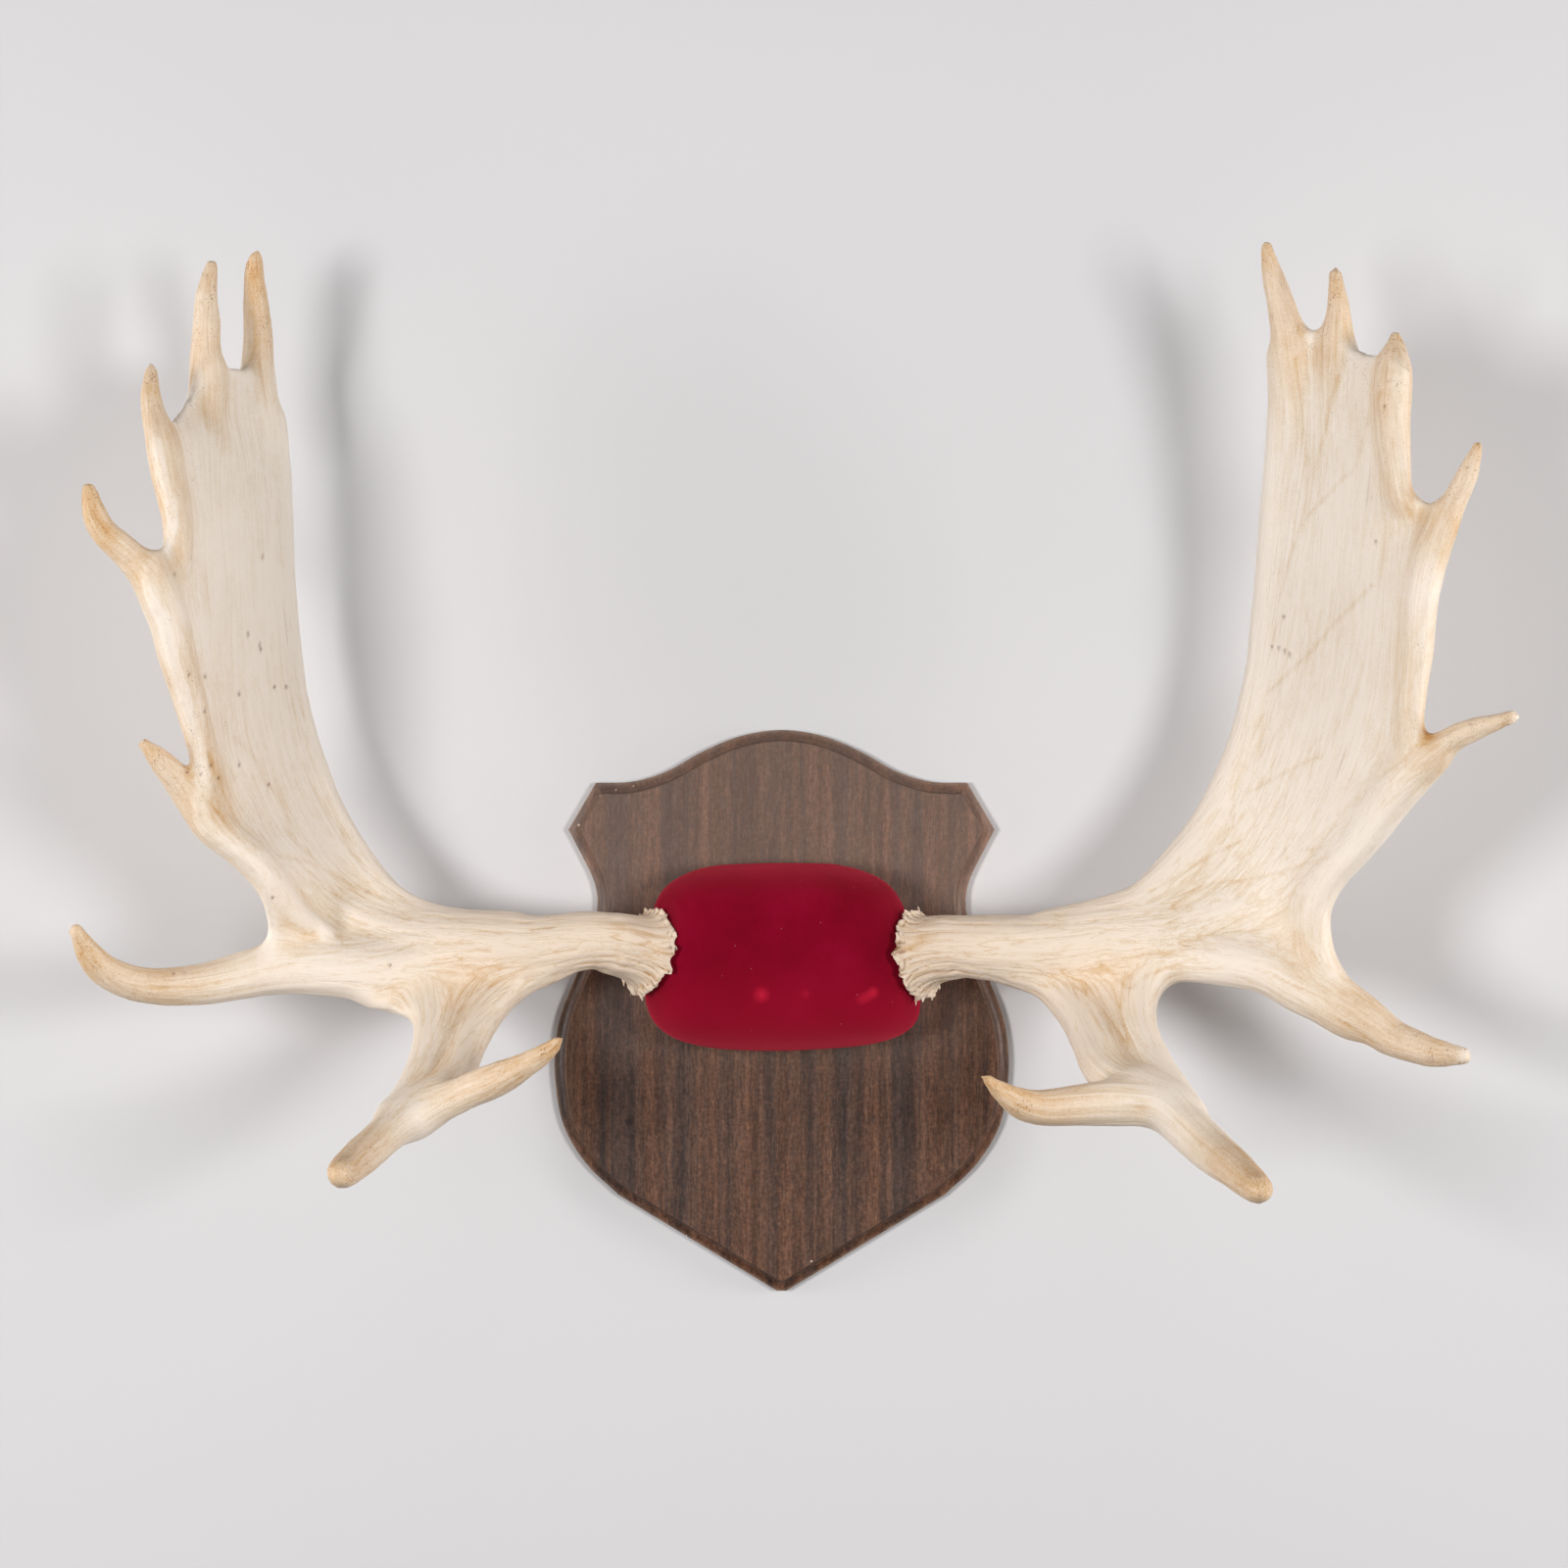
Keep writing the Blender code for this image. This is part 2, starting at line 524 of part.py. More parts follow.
def make_antler(side, ribs, rim, bowl, group, cutters):
    """A whole antler, fused and rounded, then parted at its three main forks."""
    free = {name for name in ribs if "tine" in name}
    pieces = [make_rib(f"{side}_{name}", spine, group, name in free)
              for name, spine in ribs.items()]
    pieces += make_burr(side, ribs["beam"], group)
    pieces.append(make_sheet(side, ribs, rim, bowl, group))
    antler = join(side + "_antler", pieces, group)
    remesh(antler, ANTLER_VOXEL)
    smooth = antler.modifiers.new("fillets", "SMOOTH")
    smooth.factor = 0.5
    smooth.iterations = FILLET_PASSES
    apply_modifiers(antler)
    trim_to(antler, ANTLER_TRIANGLES)

    sign = -1 if side == "left" else 1
    start, axis = beam_axis(ribs["beam"])
    foot = cutter_block(side + "_foot_cut", (-0.1, -0.1, -0.2), (0.1, 0.1, 0), cutters)
    foot.rotation_mode = "QUATERNION"
    foot.rotation_quaternion = axis.to_track_quat("Z", "Y")
    foot.location = start
    boolean(antler, foot, "DIFFERENCE")

    half = GAP / 2
    reach = (sign * BROW_REACH_X, 0.0)
    brow_low = (min(reach), -CUT_SIZE, -CUT_SIZE)
    brow_box = cutter_block(side + "_brow_box", brow_low, (max(reach), 0, BROW_FORK_Z - half),
                            cutters)
    brow_cut = cutter_block(side + "_brow_cut", brow_low, (max(reach), 0, BROW_FORK_Z + half),
                            cutters)
    inward = (sign * (BEAM_FORK_X - half), 0.0)
    outward = (sign * (BEAM_FORK_X + half), sign * CUT_SIZE)
    beam_box = cutter_block(side + "_beam_box", (min(inward), -CUT_SIZE, -CUT_SIZE),
                            (max(inward), 0, CUT_SIZE), cutters)
    palm_box = cutter_block(side + "_palm_box", (min(outward), -CUT_SIZE, -CUT_SIZE),
                            (max(outward), 0, CUT_SIZE), cutters)

    fork_x, ceiling = LATERAL_FORK[side]
    blocks = []
    for kind, shift in (("box", half), ("cut", -half)):
        span = sorted((sign * (fork_x + shift), sign * CUT_SIZE))
        blocks.append(cutter_block(f"{side}_lateral_{kind}", (span[0], -CUT_SIZE, -CUT_SIZE),
                                   (span[1], 0, ceiling), cutters))
    lateral = copy_of(antler, side + "_lateral_tine", group)
    boolean(lateral, blocks[0], "INTERSECT")
    boolean(antler, blocks[1], "DIFFERENCE")

    brow = copy_of(antler, side + "_brow_palm", group)
    boolean(brow, brow_box, "INTERSECT")
    boolean(antler, brow_cut, "DIFFERENCE")
    beam = copy_of(antler, side + "_beam", group)
    boolean(beam, beam_box, "INTERSECT")
    palm = copy_of(antler, side + "_palm", group)
    boolean(palm, palm_box, "INTERSECT")
    bpy.data.objects.remove(antler, do_unlink=True)
    return [beam, palm, lateral, brow]


# --- the whole trophy --------------------------------------------------------------------

def finish(obj, material, root, sharp_degrees):
    obj.data.materials.clear()
    obj.data.materials.append(material)
    obj.data.shade_smooth()
    obj.data.set_sharp_from_angle(angle=math.radians(sharp_degrees))
    obj.parent = root


def main():
    clear_scene()
    parts = new_collection("moose_antler_trophy")
    cutters = new_collection("cutters")
    root = add_object("trophy", None, parts)
    finish(make_plaque(parts), make_material("walnut"), root, 30)
    finish(make_velvet(parts, cutters), make_material("velvet"), root, 50)
    horn = make_material("antler")
    for side, ribs, rim, bowl in (("left", LEFT, LEFT_RIM, LEFT_BOWL),
                                  ("right", RIGHT, RIGHT_RIM, RIGHT_BOWL)):
        for piece in make_antler(side, ribs, rim, bowl, parts, cutters):
            finish(piece, horn, root, 60)


main()
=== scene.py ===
# %% [markdown]
# # A pair of moose antlers on a shield plaque
# Two palmed antlers stand on a stuffed velvet cover over the skull plate, on a walnut-veneered
# shield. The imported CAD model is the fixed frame, so every surface made here stands where its
# CAD solid stands: metres, the wall at y = 0, the trophy facing -Y, "left" and "right" the
# viewer's. The ribs, rims and bowls below are the CAD model's own, in millimetres.

import math

import bmesh
import bpy
import numpy as np
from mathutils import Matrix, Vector


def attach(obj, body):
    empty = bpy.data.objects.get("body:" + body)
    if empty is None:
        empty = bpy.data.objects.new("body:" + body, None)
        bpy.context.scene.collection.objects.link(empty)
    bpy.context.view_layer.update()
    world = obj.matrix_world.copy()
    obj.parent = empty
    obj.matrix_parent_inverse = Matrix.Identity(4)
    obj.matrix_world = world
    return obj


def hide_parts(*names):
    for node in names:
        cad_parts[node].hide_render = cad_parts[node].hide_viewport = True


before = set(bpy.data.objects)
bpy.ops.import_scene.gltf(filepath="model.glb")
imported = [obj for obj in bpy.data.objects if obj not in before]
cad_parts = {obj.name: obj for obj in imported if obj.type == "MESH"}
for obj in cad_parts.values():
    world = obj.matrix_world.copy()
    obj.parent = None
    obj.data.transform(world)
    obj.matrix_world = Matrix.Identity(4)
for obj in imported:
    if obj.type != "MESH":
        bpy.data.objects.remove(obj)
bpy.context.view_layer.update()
MM = 0.001
scene = bpy.context.scene
print("CAD nodes:", sorted(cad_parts))

# %% [markdown]
# ## Camera
# The photograph looks straight at the wall from about 3.2 m with a short telephoto lens. One of
# its 1600 pixels is 0.82 mm wide at the wall, which gives the focal length. A camera could be
# fitted by eye instead, but this one lets a spot seen in the photo be turned into a real place.

# %% Camera
PHOTO_PIXELS = 1600
PIXEL_AT_WALL = 0.82 * MM
CAMERA_AWAY = 3.2
CAMERA_X = 2 * MM
CAMERA_HEIGHT = 0.188

camera_data = bpy.data.cameras.new("camera")
camera_data.sensor_width = 36.0
camera_data.lens = 36.0 * CAMERA_AWAY / (PHOTO_PIXELS * PIXEL_AT_WALL)
camera = bpy.data.objects.new("camera", camera_data)
camera.location = (CAMERA_X, -CAMERA_AWAY, CAMERA_HEIGHT)
camera.rotation_euler = (math.radians(90), 0, 0)
scene.collection.objects.link(camera)
scene.camera = camera
print("focal length", round(camera_data.lens, 1), "mm")


def seen_at(pixels, off):
    """(x, z) of photo pixels that show places `off` metres in front of the wall."""
    pixels = np.asarray(pixels, float)
    scale = PIXEL_AT_WALL * (CAMERA_AWAY - off) / CAMERA_AWAY
    middle = PHOTO_PIXELS / 2
    return np.stack([CAMERA_X + (pixels[:, 0] - middle) * scale,
                     CAMERA_HEIGHT + (middle - pixels[:, 1]) * scale], 1)


def pixels_of(points):
    """The photo pixels that show these places: seen_at() the other way round."""
    scale = PIXEL_AT_WALL * (CAMERA_AWAY + points[:, 1]) / CAMERA_AWAY
    return np.stack([PHOTO_PIXELS / 2 + (points[:, 0] - CAMERA_X) / scale,
                     PHOTO_PIXELS / 2 - (points[:, 2] - CAMERA_HEIGHT) / scale], 1)


# %% [markdown]
# ## Helpers for meshes, curves and materials
# A mesh is filled from whole numpy arrays. A smooth line through a few hand-set points is a
# Catmull-Rom spline, which passes through each point. Material nodes are written as one call
# each, with short names for the nodes that come back often, so that a material reads from top
# to bottom.

# %% Meshes in and out of numpy
def link(name, mesh):
    made = bpy.data.objects.new(name, mesh)
    scene.collection.objects.link(made)
    return made


def mesh_of(name, points, faces):
    """A mesh from an array of points and an array (or list) of faces."""
    mesh = bpy.data.meshes.new(name)
    mesh.from_pydata(points.tolist(), [], faces.tolist() if hasattr(faces, "tolist") else faces)
    mesh.shade_smooth()
    mesh.update()
    return mesh


def points_of(mesh):
    flat = np.empty(len(mesh.vertices) * 3, np.float32)
    mesh.vertices.foreach_get("co", flat)
    return flat.reshape(-1, 3).astype(float)


def set_points(mesh, points):
    mesh.vertices.foreach_set("co", points.astype(np.float32).ravel())
    mesh.update()


def normals_of(mesh):
    flat = np.empty(len(mesh.vertices) * 3, np.float32)
    mesh.vertex_normals.foreach_get("vector", flat)
    return flat.reshape(-1, 3).astype(float)


def edges_of(mesh):
    flat = np.empty(len(mesh.edges) * 2, np.int32)
    mesh.edges.foreach_get("vertices", flat)
    return flat.reshape(-1, 2)


# %% Values stored on vertices
def put(mesh, name, values):
    """Store one number, or one vector, for each vertex."""
    kind = "FLOAT_VECTOR" if values.ndim == 2 else "FLOAT"
    layer = mesh.attributes.new(name, kind, "POINT")
    layer.data.foreach_set("vector" if values.ndim == 2 else "value",
                           values.astype(np.float32).ravel())


def taken(mesh, name):
    """The numbers or vectors that put() stored."""
    layer = mesh.attributes[name]
    wide = 3 if layer.data_type == "FLOAT_VECTOR" else 1
    flat = np.empty(len(layer.data) * wide, np.float32)
    layer.data.foreach_get("vector" if wide == 3 else "value", flat)
    return flat.reshape(-1, 3).astype(float) if wide == 3 else flat.astype(float)


# %% Smoothing and subdividing
def subdivided(mesh, name, levels=1):
    """The mesh after Catmull-Clark subdivision, with its stored values carried along."""
    holder = link(name, mesh)
    finer = holder.modifiers.new("finer", "SUBSURF")
    finer.levels = finer.render_levels = levels
    bpy.context.view_layer.update()
    result = bpy.data.meshes.new_from_object(
        holder.evaluated_get(bpy.context.evaluated_depsgraph_get()))
    bpy.data.objects.remove(holder)
    result.name = name
    return result


def neighbour_mean(values, edges):
    """The mean of each vertex's neighbours, for a table with a row for each vertex."""
    count = len(values)
    both = edges.ravel(), edges[:, ::-1].ravel()
    degree = np.maximum(np.bincount(both[0], minlength=count), 1)
    return np.stack([np.bincount(both[0], column[both[1]], count) / degree
                     for column in values.T], 1)


# %% Directions, easing and smooth lines
def unit(ways):
    """The same ways, each of them 1 long."""
    return ways / np.maximum(np.linalg.norm(ways, axis=-1, keepdims=True), 1e-9)


def eased(share):
    """0 to 1 with a level start and a level end."""
    return share * share * (3 - 2 * share)


def through(points, steps, closed=False):
    """Catmull-Rom spline: each stretch is the cubic that leaves and reaches its two points
    parallel to the line between their neighbours, sampled `steps` times."""
    points = np.asarray(points, float)
    if closed:
        padded = np.concatenate([points[-1:], points, points[:2]])
    else:
        padded = np.concatenate([[2 * points[0] - points[1]], points,
                                 [2 * points[-1] - points[-2]]])
    p0, p1, p2, p3 = padded[:-3], padded[1:-2], padded[2:-1], padded[3:]
    t = np.linspace(0, 1, steps, endpoint=False)[None, :, None]
    p0, p1, p2, p3 = (p[:, None, :] for p in (p0, p1, p2, p3))
    line = 0.5 * (2 * p1 + (p2 - p0) * t + (2 * p0 - 5 * p1 + 4 * p2 - p3) * t ** 2
                  + (3 * p1 - p0 - 3 * p2 + p3) * t ** 3)
    line = line.reshape(-1, points.shape[1])
    return line if closed else np.concatenate([line, points[-1:]])


# %% Colours and sizes for materials
def paint(code):
    """An sRGB hex colour made linear for the shader."""
    parts = [int(code[i:i + 2], 16) / 255 for i in (0, 2, 4)]
    return (*(p / 12.92 if p <= 0.04045 else ((p + 0.055) / 1.055) ** 2.4 for p in parts), 1.0)


def per(size_mm):
    """How many repeats of that size there are in a metre: a texture's scale."""
    return 1 / (size_mm * MM)


# %% One node at a time
class Finish:
    """A material to which nodes are added one by one."""

    def __init__(self, name):
        self.material = bpy.data.materials.new(name)
        self.material.use_nodes = True
        self.tree = self.material.node_tree
        self.shader = self.tree.nodes["Principled BSDF"]

    def feed(self, socket, value):
        if isinstance(value, bpy.types.NodeSocket):
            self.tree.links.new(value, socket)
        elif value is not None:
            socket.default_value = value

    def add(self, kind, *inputs, out=0, stops=(), **named):
        """Add a node and return one of its outputs. Plain values go to its inputs in order,
        a name with a capital is an input, any other name is a setting of the node, and stops
        are a colour ramp's places and colours."""
        node = self.tree.nodes.new("ShaderNode" + kind)
        for name, value in named.items():
            if name[0].islower():
                setattr(node, name, value)
        for element in range(2, len(stops)):
            node.color_ramp.elements.new(1.0)
        for element, (place, colour) in zip(node.color_ramp.elements if stops else (), stops):
            element.position, element.color = place, paint(colour)
        for socket, value in zip([s for s in node.inputs if s.enabled], inputs):
            self.feed(socket, value)
        for name, value in named.items():
            if name[0].isupper():
                self.feed(node.inputs[name.replace("_", " ")], value)
        return node.outputs[out] if isinstance(out, str) else [
            s for s in node.outputs if s.enabled][out]

    def set(self, **sockets):
        for name, value in sockets.items():
            self.feed(self.shader.inputs[name.replace("_", " ")], value)

    def calc(self, operation, *values, **named):
        """A Math node. MULTIPLY_ADD is the first times the second plus the third."""
        return self.add("Math", *values, operation=operation, **named)

    def added(self, total, *parts):
        """The total plus, for each part, its value less its middle, times its share."""
        for value, middle, share in parts:
            total = self.calc("MULTIPLY_ADD", self.calc("SUBTRACT", value, middle), share, total)
        return total

    def mix(self, share, under, over, **named):
        """A colour that goes from `under` to `over` as the share goes from 0 to 1."""
        return self.add("Mix", share, under, over, data_type="RGBA", **named)

    def noise(self, place, size_mm, detail=2.0, roughness=0.5):
        return self.add("TexNoise", place, Scale=per(size_mm), Detail=detail,
                        Roughness=roughness)

    def bump(self, height, strength, depth_mm, normal=None):
        return self.add("Bump", Strength=strength, Distance=depth_mm * MM, Height=height,
                        Normal=normal)

    def from_spot(self, flat, pixel, off):
        """Distance in the x-z plane from what that photo pixel shows, `off` metres off the
        wall. `flat` is the place without its y."""
        x, z = seen_at([pixel], off)[0]
        return self.add("VectorMath", flat, (x, 0, z), operation="DISTANCE")


def dress(piece, *finishes):
    piece.data.materials.clear()
    for finish in finishes:
        piece.data.materials.append(finish.material)


# %% [markdown]
# ## Shield plaque
# The shield is a routed board: a flat face, a small square step, a hollow moulding (a cove) and
# a plain side. Such a board is one profile carried round one outline, so every place on its
# edge is a function of two numbers, how far round and how far in, and its flat face and back
# are single faces. Bevelling a cut-out would do too, but a carried profile puts the cove and
# its step exactly where they are wanted.

# %% The shield's outline
PLAQUE_HALF = [   # (x, z, corner?) in mm, mirrored to the other side
    (0, 233, False), (34, 228, False), (66, 215, False), (95, 199, False),
    (124, 190, False), (155, 189, True), (178, 150, True), (166, 127, False),
    (156, 105, False), (154, 84, False), (161, 54, False), (173, 25, False),
    (184, -3, False), (189, -30, False), (189, -60, False), (182, -97, False),
    (163, -129, False), (136, -155, True), (4, -235, True),
]
CORNER_CLEAR = 6.5               # how far an inset corner slides along its neighbours


def shield_outline(steps=8):
    """The outline as (x, z) in metres: a spline through the points between two corners,
    without the places that an inset corner would slide past."""
    whole = PLAQUE_HALF + [(-x, z, c) for x, z, c in reversed(PLAQUE_HALF) if x > 0]
    first = next(index for index, point in enumerate(whole) if point[2])
    whole = whole[first:] + whole[:first + 1]
    arcs, arc = [], [whole[0][:2]]
    for x, z, corner in whole[1:]:
        arc.append((x, z))
        if corner:
            line = through(arc, steps if len(arc) > 2 else 1)
            from_ends = np.linalg.norm(line[:, None] - line[[0, -1]], axis=2).min(1)
            arcs.append(line[(from_ends == 0) | (from_ends > CORNER_CLEAR)][:-1])
            arc = [(x, z)]
    return np.concatenate(arcs) * MM


print("outline points:", len(shield_outline()))

# %% The edge's profile
PLAQUE_THICK = 19.0              # mm
SIDE_HEIGHT = 8.4
COVE_WIDE, COVE_RISE = 7.9, 9.0
COVE_START = 1.2                 # the flat from the side to where the cove begins


def edge_profile():
    """(inset, height) in mm from the back's rim to the field: side, rounded arris, a cove
    that rises by rise * (1 - cos) as it goes in by width * sin, then the step."""
    turn = np.radians(np.linspace(0, 90, 11))
    cove = np.stack([COVE_START + COVE_WIDE * np.sin(turn),
                     SIDE_HEIGHT + COVE_RISE * (1 - np.cos(turn))], 1)
    foot, top = COVE_START + COVE_WIDE, PLAQUE_THICK
    return np.concatenate([
        [(0.7, 0.0), (0.0, 0.7), (0.0, SIDE_HEIGHT - 0.9), (0.25, SIDE_HEIGHT - 0.25),
         (0.8, SIDE_HEIGHT)], cove,
        [(foot + 0.25, top - 1.55), (foot + 0.32, top - 0.6), (foot + 0.9, top)]])


# Above 0 a place of the profile is worn and painted lighter as a highlight, on the outer arris
# and the step's edge; below 0 it is painted shade, in the cove's steep part and the step's foot.
EDGE_WEAR_LIGHT_SHADE = [0, 0, 0.4, 1, 0.7, 0.3, *[0] * 7, -0.4, -0.8, -1, -1, 1, 0]
SHARP_FROM = math.radians(32)    # a steeper edge than this is shaded sharp


# %% Carry the profile round the outline
def mitre_of(outline):
    """How far a corner moves for each unit of inset: the sum of the two neighbouring edges'
    outward normals over 1 + their product."""
    run = np.roll(outline, -1, axis=0) - outline
    normal = unit(np.stack([run[:, 1], -run[:, 0]], 1))
    if ((outline * normal).sum(1)).mean() < 0:
        normal = -normal
    before = np.roll(normal, 1, axis=0)
    return (normal + before) / (1 + (normal * before).sum(1, keepdims=True))


def shield_rings():
    """Place = outline - inset * mitre, height = the profile's."""
    outline = shield_outline()
    profile = edge_profile() * MM
    flat = outline - profile[:, 0, None, None] * mitre_of(outline)
    height = np.broadcast_to(-profile[:, 1, None], flat.shape[:2])
    return np.stack([flat[..., 0], height, flat[..., 1]], -1)


def ring_quads(rows, columns):
    """Quads over a grid whose columns run round and close."""
    number = np.arange(rows * columns).reshape(rows, columns)
    onward = np.roll(number, -1, axis=1)
    return np.stack([number[:-1], number[1:], onward[1:], onward[:-1]], -1).reshape(-1, 4)


def with_poles(grid):
    """The grid's points and quads with a pole added at either end, joined by fans."""
    rows, columns = grid.shape[:2]
    points = np.concatenate([grid.reshape(-1, 3), grid[:1].mean(1), grid[-1:].mean(1)])
    ring = np.arange(columns)
    fans = [np.stack([ring + start, np.roll(ring, -1) + start,
                      np.full(columns, rows * columns + pole)], 1)
            for pole, start in enumerate((0, (rows - 1) * columns))]
    return points, ring_quads(rows, columns).tolist() + np.concatenate(fans).tolist()


def face_outwards(mesh):
    """Turn every face of a closed mesh outwards."""
    bm = bmesh.new()
    bm.from_mesh(mesh)
    bmesh.ops.recalc_face_normals(bm, faces=bm.faces)
    bm.to_mesh(mesh)
    bm.free()


# %% Shield mesh
rings = shield_rings()
rows, around = rings.shape[:2]
shield_mesh = mesh_of("shield_plaque", *with_poles(rings))
face_outwards(shield_mesh)
for polygon in shield_mesh.polygons:
    on_edge = polygon.index < around * (rows - 2) or polygon.center.y > -1 * MM
    polygon.material_index = int(on_edge)
put(shield_mesh, "wear_light_shade", np.append(np.repeat(EDGE_WEAR_LIGHT_SHADE, around), [0, 0]))
shield_mesh.set_sharp_from_angle(angle=SHARP_FROM)
plaque = link("shield_plaque", shield_mesh)
print("plaque faces", len(shield_mesh.polygons),
      "size mm", np.ptp(points_of(shield_mesh), axis=0).round(4) / MM)

# %% [markdown]
# ## Walnut veneer, sliced and lacquered
# The face is walnut veneer with its grain upright: broad bands of orange-brown and grey-brown,
# finer stripes inside them, short dark dashes where the pores were cut open, and a satin
# lacquer drawn lighter and greyer towards the top, as dust and a painted sheen. All of it is
# noise in space squeezed along Z, so that it comes out as upright streaks. The moulding is
# solid walnut under a darker stain.

# %% Walnut
BROAD, STRIPE, FIBRE, PORE = 24.0, 7.0, 1.6, 1.2     # widths across the grain, mm
SPECKLE, WEAR_HIGHLIGHT_APART = 2.6, 12.0  # mm: the lacquer's mottle, and how patchy its wear is
# The worn colour also paints highlights on the edge's bright lines; the dark one paints shade in
# the cove by the step.
WORN_HIGHLIT_WOOD, RECESS_SHADE, OPEN_PORE = paint("9C7E66"), paint("241814"), paint("2A1D18")


def walnut(name, light, dark, pore_share):
    """Returns the finish, where it reads, its colour and its pores. Stripes and fibres say
    how light the wood is, and broad dark bands lie over them."""
    wood = Finish(name)
    place = wood.add("TexCoord", out="Object")
    long, longer, short, dash = (
        wood.add("Mapping", place, Location=(shift, 0.3, shift), Scale=(1.0, 1.0, squeeze))
        for shift, squeeze in ((0.11, 0.03), (0.37, 0.02), (0.0, 0.16), (0.6, 0.10)))
    bands = wood.noise(longer, BROAD, 4.0, 0.7)
    stripes = wood.noise(long, STRIPE, 4.0, 0.6)
    fibres = wood.noise(short, FIBRE, 2.0, 0.6)
    speckle = wood.noise(place, SPECKLE)
    pores = wood.noise(dash, PORE, 1.0)
    tone = wood.added(0.5, (stripes, 0.5, 1.0), (fibres, 0.5, 0.75), (speckle, 0.5, 0.7))
    colour = wood.mix(wood.add("MapRange", bands, 0.44, 0.62),
                      wood.add("ValToRGB", tone, stops=light),
                      wood.add("ValToRGB", tone, stops=dark))
    wear_light_shade = wood.add("Attribute", attribute_name="wear_light_shade", out="Fac")
    patchy = wood.noise(place, WEAR_HIGHLIGHT_APART, 3.0)
    # Worn wood and a painted highlight, on the outer arris and the step's edge.
    worn_and_highlit = wood.calc("MULTIPLY", wear_light_shade, wood.add("MapRange", patchy, 0.35, 0.6, 0.15, 0.75),
                     use_clamp=True)
    # Painted shade in the cove's steep part by the step.
    recess_shade = wood.add("MapRange", wear_light_shade, -0.2, -1.0, 0.0, 0.7)
    pore = wood.add("MapRange", pores, 0.58, 0.70)
    depth = wood.calc("MULTIPLY", pore, pore_share)
    for share, over in ((worn_and_highlit, WORN_HIGHLIT_WOOD), (recess_shade, RECESS_SHADE), (depth, OPEN_PORE)):
        colour = wood.mix(share, colour, over)
    return wood, place, colour, pore

# %% Chips in the lacquer
BARE, KNOT = "CDB49E", "2A1B16"
CHIPS = [(590, 842, 1.3, BARE), (628, 806, 0.9, BARE), (646, 802, 0.8, BARE),
         (612, 812, 0.8, BARE), (828, 1287, 1.2, BARE), (640, 1275, 0.8, BARE),
         (700, 1262, 0.7, BARE), (642, 1145, 4.0, KNOT)]      # px, py, radius in mm


def chipped(wood, place, colour):
    """The colour with bare wood inside each small chip, and a dark knot."""
    flat = wood.add("Mapping", place, Scale=(1.0, 0.0, 1.0))
    for px, py, radius, shade in CHIPS:
        away = wood.from_spot(flat, (px, py), PLAQUE_THICK * MM)
        chip = wood.add("MapRange", away, radius * MM, 0.5 * radius * MM)
        colour = wood.mix(chip, colour, paint(shade))
    return colour


# %% Veneer on the face
# Dust and a painted sheen: the face is drawn lighter and greyer towards the top.
DUST_AND_SHEEN = paint("A48A7C")
DUST_SHEEN_FROM, DUST_SHEEN_TO = -0.08, 0.12     # heights in metres between which it grows thicker
veneer, place, colour, pore = walnut(
    "walnut_veneer",
    light=((0.25, "482E20"), (0.42, "5B3B2A"), (0.55, "694734"), (0.68, "77523D"),
           (0.85, "8A6149")),
    dark=((0.25, "30221D"), (0.42, "3E2D26"), (0.55, "4A362D"), (0.68, "574036"),
          (0.85, "654C3F")), pore_share=0.45)
height = veneer.add("SeparateXYZ", place, out="Z")
dust_and_sheen = veneer.add("MapRange", height, DUST_SHEEN_FROM, DUST_SHEEN_TO, 0.0, 0.24)
veneer.set(Base_Color=veneer.mix(dust_and_sheen, chipped(veneer, place, colour), DUST_AND_SHEEN), Roughness=0.44,
           Specular_IOR_Level=0.32, Coat_Weight=0.04, Coat_Roughness=0.35,
           Normal=veneer.bump(veneer.calc("SUBTRACT", 1.0, pore), 0.6, 0.12))

# %% Stained moulding
moulding, place, colour, pore = walnut(
    "walnut_moulding",
    light=((0.25, "3A261C"), (0.45, "4C3325"), (0.60, "5A3E2E"), (0.80, "6E4F3C")),
    dark=((0.25, "33231D"), (0.45, "432F27"), (0.60, "503A2F"), (0.80, "62483A")),
    pore_share=0.35)
moulding.set(Base_Color=chipped(moulding, place, colour), Roughness=0.36,
             Specular_IOR_Level=0.5, Coat_Weight=0.15, Coat_Roughness=0.25,
             Normal=moulding.bump(moulding.calc("SUBTRACT", 1.0, pore), 0.5, 0.1))
dress(plaque, veneer, moulding)
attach(plaque, "root")
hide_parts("plaque")

# %% [markdown]
# ## Velvet cover
# Crimson velvet is stretched over stuffing on the skull plate and tucked under all round. Seen
# from the front it is a rounded block, wider at the bottom, and it is pressed in where the
# burrs sit against it. It starts as a superellipsoid, a ball whose coordinates are raised to a
# power, made slightly small. Then Blender's cloth, blown up by a little air, gives it the taut
# crown and soft corners of real stuffing.

# %% Velvet pad before stuffing
PAD_WIDTH = 236 * MM
PAD_HEIGHT = 151 * MM
PAD_TOP = 118 * MM
PAD_CENTRE_X = 1 * MM
PAD_CENTRE_Z = 46 * MM
PAD_TAPER = 0.07, 0.11           # narrower at mid height than below: left and right share
PAD_POWER = 3.4                  # front to back; from the front each corner has its own
CORNER_POWERS = [4.6, 4.2, 3.8, 5.5]     # top right, top left, bottom left, bottom right
PAD_LEAN = 0.08                  # share by which its lower right is shallower
PAD_WIDER = 1.06
PAD_SLACK = 2.0 * MM             # how much smaller it starts
PAD_LOW = -0.22                  # height, from -1 to 1, where the plaque's face cuts the ball
PAD_GAP = 0.5                    # mm between the pad's back and the plaque


